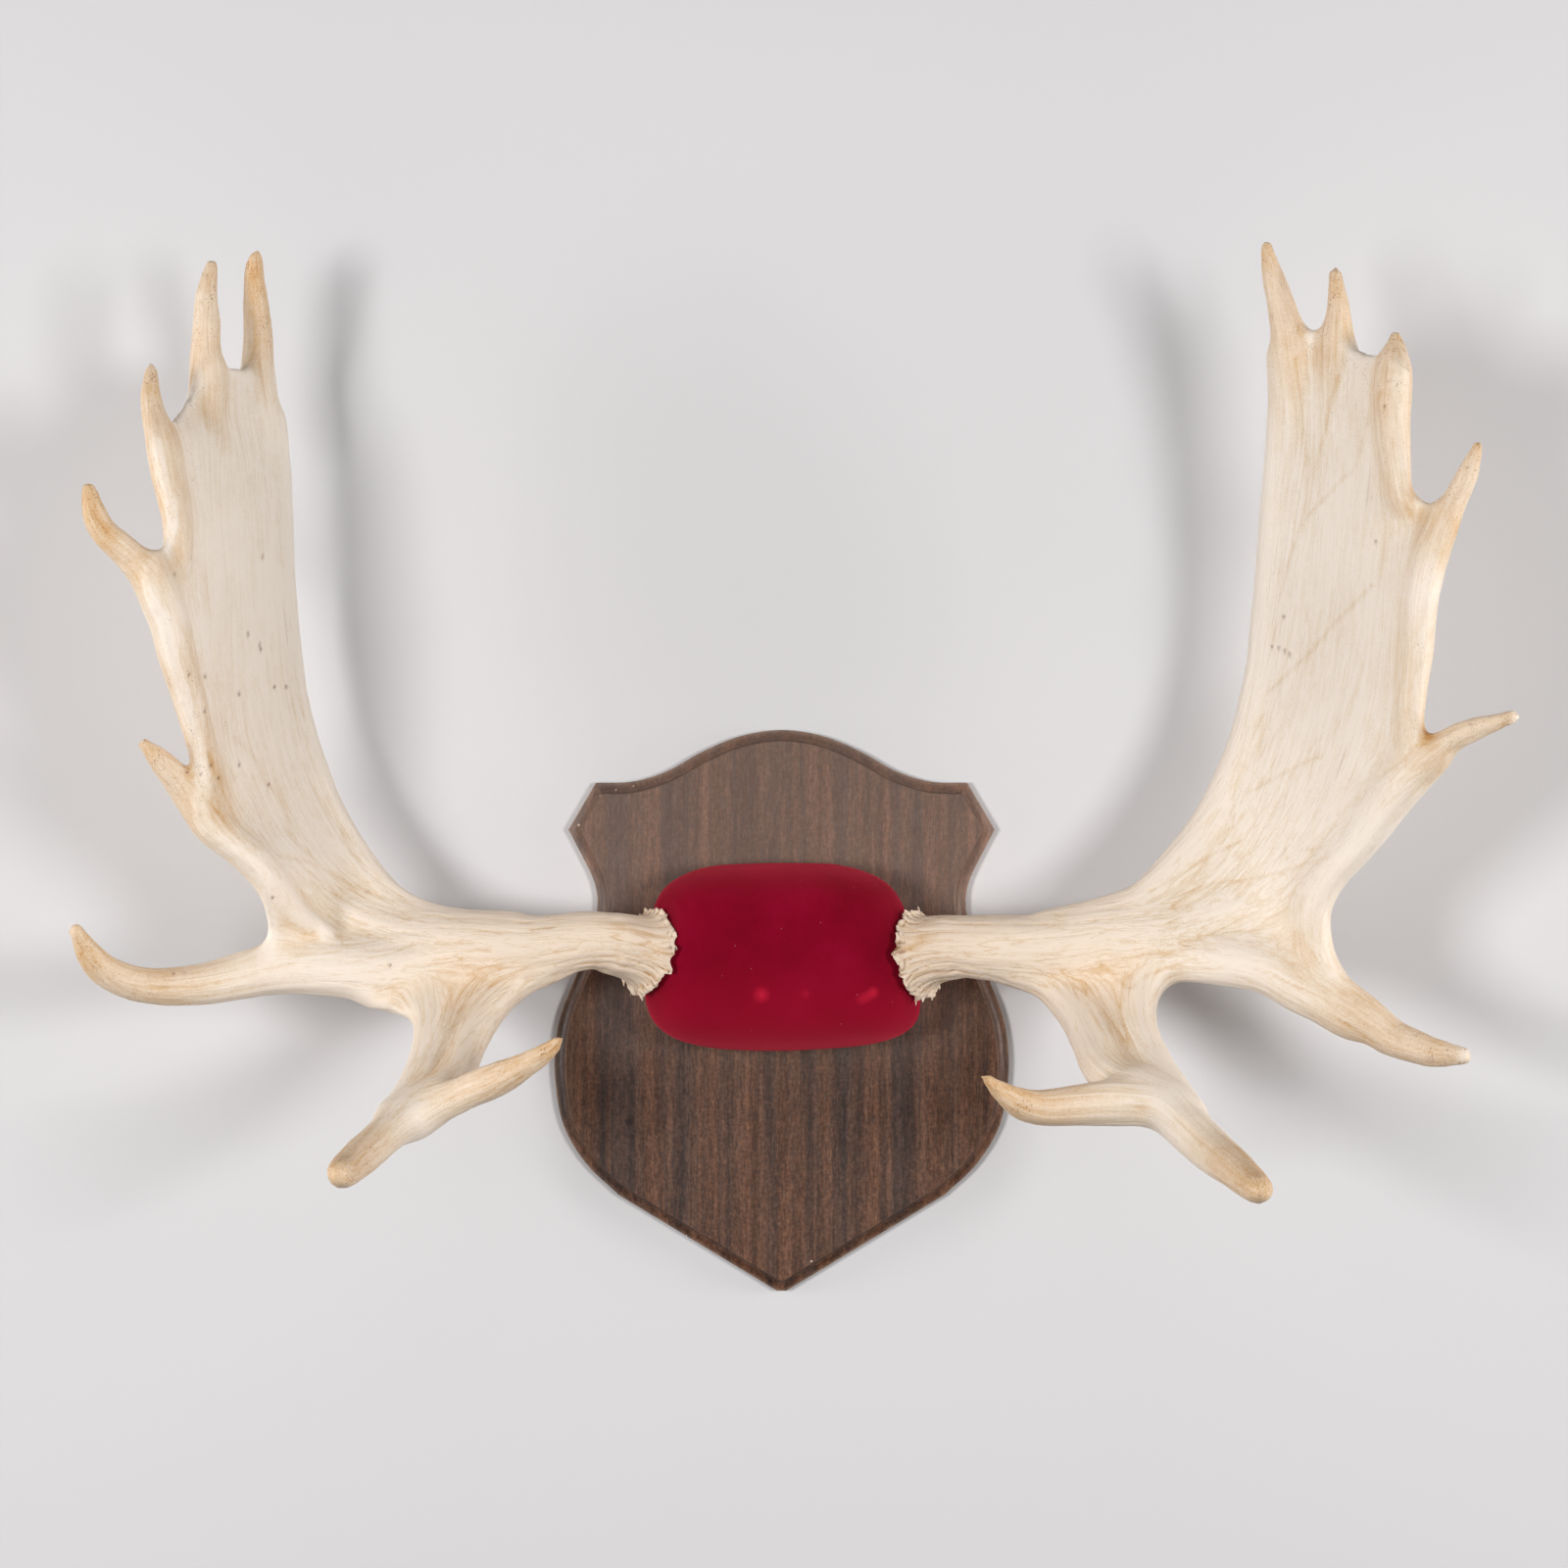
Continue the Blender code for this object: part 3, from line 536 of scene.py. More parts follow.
def pad_surface(around_count=120, up_count=44):
    """x, y and z = the sine and cosine of two angles, each raised to 2 / power, times the
    half sizes; z also narrows x. Two slow waves round the rim make it hand stuffed, and the
    part below the plaque's face is left out."""
    turn = np.linspace(0, 2 * np.pi, around_count, endpoint=False)
    rise = np.linspace(-0.5 * np.pi, 0.5 * np.pi, up_count + 2)[1:-1]
    power = lambda value, by: np.sign(value) * np.abs(value) ** (2 / by)
    wave = 1 + 0.010 * np.sin(2 * turn + 4.2) + 0.008 * np.sin(3 * turn + 0.4)
    wide = power(np.cos(rise), PAD_POWER)[:, None] * np.minimum(wave, 1.008)
    corner = np.array(CORNER_POWERS)[(turn // (0.5 * np.pi)).astype(int)]
    x = wide * power(np.cos(turn), corner) * PAD_WIDER
    z = wide * power(np.sin(turn), corner)
    z *= 1 - PAD_LEAN * np.clip(x, 0, 1) * (z < 0)
    taper = np.where(x < 0, *PAD_TAPER)
    off = np.maximum(power(np.sin(rise), PAD_POWER), PAD_LOW) - PAD_LOW
    off /= 1 - PAD_LOW
    return np.stack([
        PAD_CENTRE_X + x * (1 - taper * (1 + z)) * (PAD_WIDTH / 2 - PAD_SLACK),
        -(PLAQUE_THICK + PAD_GAP) * MM - off[:, None] * np.ones_like(x)
        * (PAD_TOP - PLAQUE_THICK * MM - PAD_SLACK),
        PAD_CENTRE_Z + z * (PAD_HEIGHT / 2 - PAD_SLACK)], -1)


pad_mesh = mesh_of("velvet_pad", *with_poles(pad_surface()))
face_outwards(pad_mesh)
velvet = link("velvet_pad", pad_mesh)
print("pad before stuffing, mm", (np.ptp(points_of(pad_mesh), axis=0) / MM).round(1))

# %% Stuff the pad with cloth simulation
PAD_SWELL = 5 * MM               # the furthest a point may move


def evaluated(piece):
    """A new mesh that holds what the piece's modifiers give, which are then removed."""
    bpy.context.view_layer.update()
    mesh = bpy.data.meshes.new_from_object(
        piece.evaluated_get(bpy.context.evaluated_depsgraph_get()))
    piece.modifiers.clear()
    return mesh


def stuffed(piece, pressure=3.0, voxel=4.5 * MM, frames=20):
    """Voxel remesh, cloth under pressure without gravity, each point's move capped."""
    remesh = piece.modifiers.new("even", "REMESH")
    remesh.mode, remesh.voxel_size = "VOXEL", voxel
    piece.data = evaluated(piece)
    before = points_of(piece.data)
    cloth = piece.modifiers.new("cloth", "CLOTH")
    cloth.settings.use_pressure = True
    cloth.settings.uniform_pressure_force = pressure
    cloth.settings.effector_weights.gravity = 0
    for number in range(1, frames + 1):
        scene.frame_set(number)
    move = points_of(evaluated(piece)) - before
    scene.frame_set(1)
    length = np.linalg.norm(move, axis=1, keepdims=True)
    print("cloth moved up to", round(float(length.max() / MM), 1), "mm, capped")
    return before + move * np.minimum(1, PAD_SWELL / np.maximum(length, 1e-9))


swollen = stuffed(velvet)

# %% Press the burrs' seats into it
# The burr's foot and a place further up its beam, (x, off, z) in mm: rib table rows.
SEATS = ((-106, 84, 52), (-135, 105, 60)), ((109, 84, 51), (141, 106, 57))
SEAT_RADIUS = 45 * MM
SEAT_EASE = 8 * MM               # how wide the seat's soft edge is
SEAT_GAP = 0.3                   # mm left between the velvet and what it lies against


def pressed(points):
    """Where a burr sits, the pad is pushed back to the plane of the burr's foot: fully inside
    the foot's circle, and easing off to nothing a little outside it."""
    for foot, further in SEATS:
        foot = np.array(foot) * [1, -1, 1] * MM
        axis = unit(np.array(further) * [1, -1, 1] * MM - foot)
        along = (points - foot) @ axis
        side = np.linalg.norm(points - foot - along[:, None] * axis, axis=1)
        ease = eased(np.clip((SEAT_RADIUS - side) / SEAT_EASE, 0, 1))
        points = points - (np.maximum(along + SEAT_GAP * MM, 0) * ease)[:, None] * axis
    points[:, 1] = np.minimum(points[:, 1], -(PLAQUE_THICK + SEAT_GAP) * MM)
    return points


edges = edges_of(velvet.data)
swollen = pressed(swollen)
for _ in range(3):
    swollen = 0.4 * swollen + 0.6 * neighbour_mean(swollen, edges)
set_points(velvet.data, pressed(swollen))
velvet.data = subdivided(velvet.data, "velvet_pad_fine")
velvet.data.shade_smooth()
print("velvet, mm", (np.ptp(points_of(velvet.data), axis=0) / MM).round(1))

# %% [markdown]
# ## Crimson cotton velvet
# Velvet is dark and deep where it is seen straight on and paler along its edges, where light
# slides through the tips of the pile. That is the shader's sheen. Hands have brushed the pile
# in patches, rubbed two spots bright and left a little lint.

# %% Velvet material
BRUSHED, PILE, LINT_APART = 60.0, 1.4, 13.0      # mm; the pile is drawn coarser than life
RUBBED_OFF = 115 * MM            # how far off the wall the rubbed spots are
RUBBED = [   # (px, py, radius in mm, strength)
    (777, 1015, 8.0, 0.6), (879, 1020, 6.0, 0.3), (885, 1017, 6.0, 0.4),
    (891, 1013, 6.0, 0.6), (822, 1014, 5.0, 0.2),
]
# The lower red paints a sheen on the velvet's lower part.
LOWER_SHEEN_RED, RUBBED_RED, LINT, PILE_TIPS = map(paint, ("9A0C2A", "DC2440", "C87878", "EB4C5C"))
pile = Finish("velvet")
place = pile.add("TexCoord", out="Object")
brushed = pile.noise(place, BRUSHED, 3.0, 0.55)
nap = pile.noise(place, PILE)
tone = pile.calc("MULTIPLY_ADD", nap, 0.35, brushed)
deep = pile.add("ValToRGB", tone, stops=((0.5, "76001A"), (0.68, "800020"), (0.86, "8A0226")))
# Painted sheen: the lower part of the pad is drawn a lighter red.
below = pile.add("MapRange", pile.add("SeparateXYZ", place, out="Z"), 0.05, -0.02, 0.0, 0.75)
deep = pile.mix(below, deep, LOWER_SHEEN_RED)
flat = pile.add("Mapping", place, Scale=(1.0, 0.0, 1.0))
for px, py, radius, share in RUBBED:
    away = pile.from_spot(flat, (px, py), RUBBED_OFF)
    deep = pile.mix(pile.add("MapRange", away, radius * MM, 0.0, 0.0, share), deep, RUBBED_RED)
lint = pile.add("MapRange", pile.add("TexVoronoi", place, Scale=per(LINT_APART)), 0.05, 0.03,
                0.0, 0.45)
pile.set(Base_Color=pile.mix(lint, deep, LINT), Roughness=0.9, Specular_IOR_Level=0.06,
         Sheen_Weight=0.5, Sheen_Roughness=0.6, Sheen_Tint=PILE_TIPS,
         Normal=pile.bump(nap, 0.5, 0.25))
dress(velvet, pile)
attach(velvet, "root")
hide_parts("velvet_cover")

# %% [markdown]
# ## Antlers: the ribs
# An antler is bone that grew as ribs, the beam, the palm's margins and the tines, with a thin
# sheet between them. Each rib is a spine of points (x, off, z, r) in millimetres: off is the
# height off the wall and r the rib's radius there. These are the CAD model's own numbers. They
# and the bowls were worked out by another program from places set and measured on the photo.

# %% Rib tables
LEFT = {
    "beam": [(-106, 84, 52, 33), (-119, 93, 56, 28), (-135, 105, 60, 24), (-161, 114, 61, 24),
             (-191, 119, 57, 26), (-225, 122, 57, 26), (-257, 124, 61, 23), (-289, 127, 64, 19),
             (-321, 131, 71, 13), (-354, 136, 85, 7)],
    "inner_margin": [(-219, 117, 69, 14), (-255, 117, 72, 13), (-289, 115, 82, 12),
                     (-315, 112, 98, 11), (-339, 107, 128, 9), (-362, 102, 167, 8),
                     (-380, 100, 211, 8), (-391, 97, 253, 7), (-398, 94, 298, 7),
                     (-402, 94, 345, 7), (-404, 97, 395, 7), (-406, 99, 440, 7),
                     (-410, 102, 481, 7)],
    "tine_6": [(-414, 104, 465, 7), (-420, 112, 511, 12), (-422, 118, 531, 13),
               (-421, 125, 551, 12), (-422, 139, 591, 9), (-420, 145, 605, 7)],
    "tine_5": [(-451, 176, 459, 7), (-454, 183, 508, 13), (-454, 186, 532, 12),
               (-453, 187, 554, 11), (-453, 186, 575, 9), (-450, 184, 594, 6)],
    "tine_4": [(-460, 268, 357, 6), (-465, 270, 391, 9), (-472, 268, 424, 11),
               (-477, 264, 451, 11), (-484, 259, 474, 9), (-486, 255, 490, 8),
               (-486, 251, 507, 5)],
    "tine_3": [(-436, 228, 165, 6), (-443, 250, 196, 7), (-456, 268, 252, 10),
               (-463, 278, 284, 13), (-468, 286, 311, 14), (-476, 292, 335, 15),
               (-485, 297, 350, 13), (-498, 303, 365, 12), (-512, 308, 378, 11),
               (-519, 311, 392, 10), (-522, 313, 407, 7)],
    "tine_2": [(-363, 172, 71, 6), (-382, 198, 88, 8), (-401, 222, 114, 11), (-422, 238, 137, 12),
               (-442, 249, 156, 13), (-454, 257, 174, 12), (-464, 264, 190, 11),
               (-474, 271, 204, 10), (-485, 277, 216, 6)],
    "tine_1": [(-296, 140, 43, 17), (-333, 158, 39, 21), (-370, 177, 41, 20), (-397, 192, 42, 20),
               (-420, 205, 39, 19), (-446, 218, 33, 17), (-479, 234, 31, 15), (-500, 245, 34, 14),
               (-519, 256, 43, 13), (-530, 266, 56, 11), (-538, 275, 73, 7)],
    "brow_outer": [(-300, 140, 31, 11), (-284, 158, 8, 10), (-279, 185, -13, 11),
                   (-281, 216, -34, 12), (-287, 250, -53, 13), (-297, 284, -67, 13)],
    "brow_inner": [(-188, 119, 42, 13), (-214, 130, 26, 12), (-233, 155, 4, 12),
                   (-244, 188, -16, 12), (-250, 222, -35, 13), (-259, 252, -51, 14)],
    "brow_tine_inner": [(-278, 278, -68, 14), (-260, 278, -56, 14), (-238, 283, -46, 14),
                        (-222, 289, -39, 14), (-205, 297, -31, 12), (-186, 306, -20, 9),
                        (-175, 312, -12, 7), (-167, 317, -5, 4)],
    "brow_tine_outer": [(-265, 262, -55, 14), (-283, 276, -65, 15), (-299, 308, -77, 15),
                        (-311, 346, -88, 15), (-320, 384, -96, 13), (-321, 410, -96, 11)],
}
LEFT_RIM = [
    ("inner_margin", 0, 12), ("tine_6", 1, 1), ("crotch", (-436, 150, 520)), ("tine_5", 1, 1),
    ("crotch", (-472, 215, 475)), ("tine_4", 3, 1), ("tine_3", 5, 1), ("tine_2", 4, 2),
    ("crotch", (-400, 210, 80)), ("tine_1", 3, 1), ("crotch", (-331, 165, 16)),
    ("crotch", (-305, 152, 6)), ("brow_outer", 1, 5), ("brow_tine_outer", 0, 0),
    ("brow_inner", 5, 0),
]
LEFT_BOWL = [
    (-386, 184, 110), (-404, 187, 149), (-422, 192, 188), (-426, 184, 228), (-428, 173, 267),
    (-432, 171, 306), (-436, 174, 345), (-438, 180, 384), (-439, 174, 422), (-438, 158, 455),
    (-437, 146, 485), (-351, 136, 86), (-264, 153, 8), (-266, 199, -27),
]

RIGHT = {
    "beam": [(109, 84, 51, 33), (123, 93, 55, 29), (141, 106, 57, 25), (166, 119, 56, 27),
             (196, 129, 56, 28), (227, 136, 59, 26), (258, 141, 65, 23), (291, 146, 67, 20),
             (323, 151, 75, 13), (353, 156, 88, 7)],
    "inner_margin": [(218, 131, 72, 14), (253, 137, 83, 13), (285, 139, 96, 12),
                     (310, 136, 121, 10), (334, 130, 152, 9), (354, 123, 188, 8),
                     (370, 117, 229, 7), (381, 114, 274, 7), (386, 115, 314, 7),
                     (389, 122, 362, 6), (391, 135, 408, 6), (394, 150, 453, 7),
                     (395, 165, 492, 8), (394, 176, 525, 8)],
    "tine_6": [(415, 160, 461, 7), (407, 172, 499, 11), (401, 182, 527, 14), (397, 189, 549, 13),
               (391, 196, 570, 11), (385, 202, 588, 9), (380, 206, 606, 6)],
    "tine_5": [(442, 198, 464, 7), (438, 206, 506, 11), (436, 212, 531, 12), (435, 215, 548, 11),
               (434, 217, 564, 9), (432, 218, 583, 6)],
    "tine_4": [(474, 282, 408, 6), (471, 281, 434, 9), (469, 279, 462, 11), (469, 277, 488, 13),
               (470, 276, 508, 11), (470, 275, 527, 6)],
    "tine_3": [(483, 272, 218, 6), (483, 280, 251, 8), (486, 288, 289, 10), (488, 294, 326, 11),
               (494, 298, 359, 12), (502, 302, 383, 11), (510, 307, 403, 10), (518, 313, 422, 9),
               (524, 319, 440, 5)],
    "tine_2": [(458, 236, 165, 6), (477, 258, 188, 14), (495, 276, 205, 14), (508, 290, 220, 11),
               (522, 302, 228, 10), (535, 313, 233, 8), (548, 323, 238, 6)],
    "outer_margin": [(483, 264, 188, 9), (466, 246, 161, 11), (450, 228, 139, 11),
                     (432, 210, 117, 11), (420, 196, 92, 12), (421, 190, 64, 12),
                     (427, 190, 41, 13)],
    "tine_1": [(311, 152, 48, 17), (345, 162, 46, 18), (382, 173, 41, 19), (408, 182, 29, 21),
               (429, 190, 20, 22), (448, 198, 8, 21), (463, 206, 0, 17), (477, 214, -10, 15),
               (490, 223, -15, 14), (505, 232, -20, 12), (524, 241, -22, 8)],
    "brow_outer": [(303, 150, 40, 11), (288, 166, 17, 10), (285, 192, -7, 11),
                   (292, 226, -29, 12), (301, 262, -47, 13), (309, 294, -61, 13)],
    "brow_inner": [(189, 127, 41, 14), (215, 138, 25, 13), (232, 164, 4, 13), (241, 198, -17, 13),
                   (248, 234, -35, 14), (265, 262, -47, 14)],
    "brow_tine_inner": [(293, 288, -56, 14), (271, 282, -56, 17), (248, 286, -55, 18),
                        (225, 293, -56, 16), (196, 305, -57, 14), (179, 314, -52, 12),
                        (165, 322, -43, 8), (153, 331, -32, 4)],
    "brow_tine_outer": [(276, 268, -46, 14), (293, 286, -60, 16), (307, 310, -72, 18),
                        (322, 346, -86, 17), (333, 386, -95, 15), (341, 420, -102, 13),
                        (344, 440, -104, 11)],
}
RIGHT_RIM = [
    ("inner_margin", 0, 13), ("tine_6", 2, 2), ("crotch", (414, 197, 541)), ("tine_5", 2, 2),
    ("tine_4", 4, 0), ("crotch", (487, 288, 402)), ("tine_3", 5, 0), ("tine_2", 2, 2),
    ("outer_margin", 0, 6), ("tine_1", 4, 0), ("brow_outer", 1, 5), ("brow_tine_outer", 0, 0),
    ("brow_inner", 5, 0),
]
RIGHT_BOWL = [
    (391, 167, 110), (407, 174, 149), (423, 184, 188), (432, 189, 227), (440, 197, 265),
    (442, 199, 304), (444, 204, 343), (443, 209, 382), (442, 218, 420), (441, 221, 450),
    (440, 221, 478), (354, 155, 86), (267, 163, 8), (270, 214, -26),
]


TIP_KNOTS = (0.45, 0.92), (0.75, 0.72)   # a free end: how far on and how wide, in last radii


def spine_of(knots, grows_free):
    """Points and radii along a rib, in metres, with a rounded end where it grows free."""
    knots = np.array(knots, float) * MM
    if grows_free:
        tip, radius = knots[-1, :3], knots[-1, 3]
        onward = unit(tip - knots[-2, :3])
        knots = np.concatenate([knots, [[*(tip + onward * radius * on), radius * wide]
                                        for on, wide in TIP_KNOTS]])
    line = through(knots, 6)
    return line[:, :3] * [1, -1, 1], line[:, 3]


# %% [markdown]
# ## Antlers: one solid out of ribs and sheet
# A branching form can't be one grid of two parameters, so the antlers are made another way: as
# a distance field. Every rib and the sheet say how far each point of a box of space is from
# them, the distances are blended where they meet, as bone fills a fork, and the surface is
# where the blend is zero. Metaballs work like this too, but give no control of the fillets.

# %% Distance field
STEP = 4.9 * MM                  # the box's spacing
BAND = 24 * MM                   # how far from a surface distances are worked out
FILLET = 13 * MM                 # reach of the blend where ribs meet
WEB = 20 * MM                    # and where the sheet meets them, as in a bay between tines
SHEET_HALF = 5.6 * MM            # half the palm's thickness
FORK_EXTRA = 4.5 * MM            # how much thicker the sheet is at the fork
FORK_REACH = 70 * MM             # how far from the fork that has shrunk to a third
BOX_MARGIN = 44 * MM             # room round the ribs' points


class Box:
    """A box of space with one distance at each of its regular points."""

    def __init__(self, low, high):
        self.low = np.asarray(low, float)
        count = np.ceil((np.asarray(high) - low) / STEP).astype(int) + 1
        self.axes = [self.low[a] + STEP * np.arange(count[a]) for a in range(3)]
        self.far = np.full(count, BAND, np.float32)

    def near(self, low, high):
        """The part of the box between two corners: its slices and its x, y and z."""
        cut = tuple(slice(max(np.searchsorted(ax, lo) - 1, 0), np.searchsorted(ax, hi) + 1)
                    for ax, lo, hi in zip(self.axes, low, high))
        return cut, np.meshgrid(*(ax[c] for ax, c in zip(self.axes, cut)), indexing="ij",
                                sparse=True)


def rib_distance(box, points, radii):
    """For each short stretch from a to b: the distance to the nearest place on the line from
    a to b, less the radius there, which runs evenly from one end's to the other's."""
    near_rib = np.full(box.far.shape, BAND, np.float32)
    for a, b, ra, rb in zip(points[:-1], points[1:], radii[:-1], radii[1:]):
        grown = max(ra, rb) + BAND
        cut, (x, y, z) = box.near(np.minimum(a, b) - grown, np.maximum(a, b) + grown)
        run = b - a
        share = np.clip(((x - a[0]) * run[0] + (y - a[1]) * run[1] + (z - a[2]) * run[2])
                        / max(run @ run, 1e-12), 0, 1)
        away = np.sqrt((x - a[0] - share * run[0]) ** 2 + (y - a[1] - share * run[1]) ** 2
                       + (z - a[2] - share * run[2]) ** 2) - (ra + share * (rb - ra))
        near_rib[cut] = np.minimum(near_rib[cut], away)
    return near_rib


def blend(one, other, reach):
    """The smaller distance, less a smooth bulge of up to a quarter of the reach where both
    distances are alike."""
    alike = np.maximum(reach - np.abs(one - other), 0) / reach
    return np.minimum(one, other) - alike ** 2 * (reach / 4)


# %% The sheet between the ribs
def height_field(places):
    """Thin-plate spline through (x, off, z): a plane plus a sum of s^2 log s, with s the
    distance from each place in the plane of the wall, weighted to meet every height."""
    places = np.array(places, float) * MM
    at, off = places[:, [0, 2]], places[:, 1]
    count = len(at)

    def kernel(one):
        square = ((one[..., None, :] - at) ** 2).sum(-1)
        return 0.5 * square * np.log(np.maximum(square, 1e-12))

    system = np.zeros((count + 3, count + 3))
    system[:count, :count] = kernel(at) + 1e-5 * np.eye(count)
    system[:count, count] = system[count, :count] = 1
    system[:count, count + 1:] = at
    system[count + 1:, :count] = at.T
    weights = np.linalg.solve(system, np.concatenate([off, np.zeros(3)]))
    return lambda where: (kernel(where) @ weights[:count] + weights[count]
                          + where @ weights[count + 1:])


def rim_of(ribs, rim):
    """The points of the sheet's rim, in order, in millimetres."""
    points = []
    for name, *places in rim:
        if name == "crotch":
            points.append(places[0])
        else:
            first, last = places
            step = 1 if last >= first else -1
            points += [ribs[name][index][:3] for index in range(first, last + step, step)]
    return np.array(points, float)


def outline_distance(x, z, outline):
    """Signed distance in the plane: to the nearest edge of the outline, negative inside it,
    where a line to the side crosses the outline an odd number of times."""
    away = np.full(np.broadcast(x, z).shape, 1e9)
    inside = np.zeros(away.shape, bool)
    for (ax, az), (bx, bz) in zip(outline, np.roll(outline, -1, axis=0)):
        dx, dz = bx - ax, bz - az
        share = np.clip(((x - ax) * dx + (z - az) * dz) / max(dx * dx + dz * dz, 1e-12), 0, 1)
        away = np.minimum(away, (x - ax - share * dx) ** 2 + (z - az - share * dz) ** 2)
        if az != bz:
            inside ^= ((az > z) != (bz > z)) & (x < ax + (z - az) * dx / dz)
    return np.where(inside, -1, 1) * np.sqrt(away)


def sheet_distance(box, outline, height, fork):
    """How far outside the outline, and how far above or below the bowl by more than half the
    thickness, joined into one distance with a half-round edge."""
    low = [outline[:, 0].min() - BAND, -1, outline[:, 1].min() - BAND]
    high = [outline[:, 0].max() + BAND, 1, outline[:, 1].max() + BAND]
    cut, (x, y, z) = box.near(low, high)
    flat_x, flat_z = x[:, 0, :], z[:, 0, :]
    outside = outline_distance(flat_x, flat_z, outline)
    where = np.stack(np.broadcast_arrays(flat_x, flat_z), -1)
    bowl = height(where)
    slope = np.gradient(bowl, STEP)
    lean = 1 / np.sqrt(1 + slope[0] ** 2 + slope[1] ** 2)
    half = SHEET_HALF + FORK_EXTRA * np.exp(-((where - fork) ** 2).sum(-1) / FORK_REACH ** 2)
    above = (np.abs(-y - bowl[:, None, :]) * lean[:, None, :] - half[:, None, :])
    out, up = outside[:, None, :] + half[:, None, :], above + half[:, None, :]
    away = (np.minimum(np.maximum(out, up), 0)
            + np.sqrt(np.maximum(out, 0) ** 2 + np.maximum(up, 0) ** 2) - half[:, None, :])
    near_sheet = np.full(box.far.shape, BAND, np.float32)
    near_sheet[cut] = np.minimum(away, BAND)
    return near_sheet


# %% A whole antler's field
LIP_OUT, STEM_OUT = 42.0 * MM, 24.0 * MM     # the burr's radius at its lip and far from it
FLARE_LONG = 8.0 * MM            # how far from the foot the flare has shrunk to a third
LIP_DROP = 2.5 * MM              # how much lower the lip's centre lies than the beam's
FOOT_SLIM = 6.0 * MM             # taken off the beam's radius at its foot, where the flare adds
FOOT_LONG = 36 * MM              # the stretch of beam that is slimmed
BURR_LONG, BURR_FILLET = 40 * MM, 5 * MM     # the trumpet's length, its blend with the beam
BURR_ROOM = 70 * MM              # half the side of the cube in which it is worked out
ROUGH_FIT = 0.25 * MM            # what subdivision takes off a round surface


def burr_frame(ribs):
    """The foot of the beam, the way it leaves, and two directions across it."""
    points = np.array(ribs["beam"], float)[:, :3] * [1, -1, 1] * MM
    axis = unit(points[2] - points[0])
    across = unit(np.cross(axis, [0, 0, 1]))
    return points[0], axis, across, np.cross(across, axis)


def antler_field(ribs, rim, bowl):
    """All ribs blended, then the sheet, then the burr, cut flat at the foot. The burr is a
    trumpet: its radius falls from the lip's to the stem's as exp(-height / FLARE_LONG)."""
    spines = {name: spine_of(knots, "tine" in name) for name, knots in ribs.items()}
    beam, radii = spines["beam"]
    away = np.linalg.norm(beam - beam[0], axis=1)
    spines["beam"] = beam, radii - FOOT_SLIM * np.clip(1 - away / FOOT_LONG, 0, 1)
    every = np.concatenate([points for points, _ in spines.values()])
    box = Box(every.min(0) - BOX_MARGIN, every.max(0) + BOX_MARGIN)
    for points, radii in spines.values():
        box.far = blend(box.far, rib_distance(box, points, radii), FILLET)
    rim_points = rim_of(ribs, rim)
    along_beam = [knot[:3] for knot in ribs["beam"][4:]]
    height = height_field([*map(tuple, rim_points), *along_beam, *bowl])
    outline = through(rim_points[:, [0, 2]] * MM, 4, closed=True)
    fork = np.array(ribs["beam"][7])[[0, 2]] * MM
    box.far = blend(box.far, sheet_distance(box, outline, height, fork), WEB)

    foot, axis, _, upward = burr_frame(ribs)
    cut, (x, y, z) = box.near(foot - BURR_ROOM, foot + BURR_ROOM)
    along = (x - foot[0]) * axis[0] + (y - foot[1]) * axis[1] + (z - foot[2]) * axis[2]
    low = foot - LIP_DROP * upward
    side = np.sqrt(np.maximum((x - low[0]) ** 2 + (y - low[1]) ** 2 + (z - low[2]) ** 2
                              - along ** 2, 0))
    flare = (LIP_OUT - STEM_OUT) * np.exp(-np.maximum(along, 0) / FLARE_LONG)
    steep = flare / FLARE_LONG
    trumpet = np.maximum((side - STEM_OUT - flare) / np.sqrt(1 + steep ** 2),
                         along - BURR_LONG)
    box.far[cut] = np.maximum(blend(box.far[cut], trumpet, BURR_FILLET), -along)
    return box, spines, height


# %% [markdown]
# ## Antlers: from the field to a mesh
# A surface net turns the field into quads: one corner in every small cell that the surface
# passes through, and one face round every cell edge that it crosses. Voxel remeshing a rough
# mesh would do the same, but the field is exact, so the corners can slide along it until the
# mesh is even. The burr gets finer faces, and then everything is subdivided once.

# %% Surface net
CORNERS = np.array([(i, j, k) for i in (0, 1) for j in (0, 1) for k in (0, 1)])
FINE_REACH = 58 * MM             # how far from the foot the faces are finer
SLIDES = 8                       # rounds of evening out


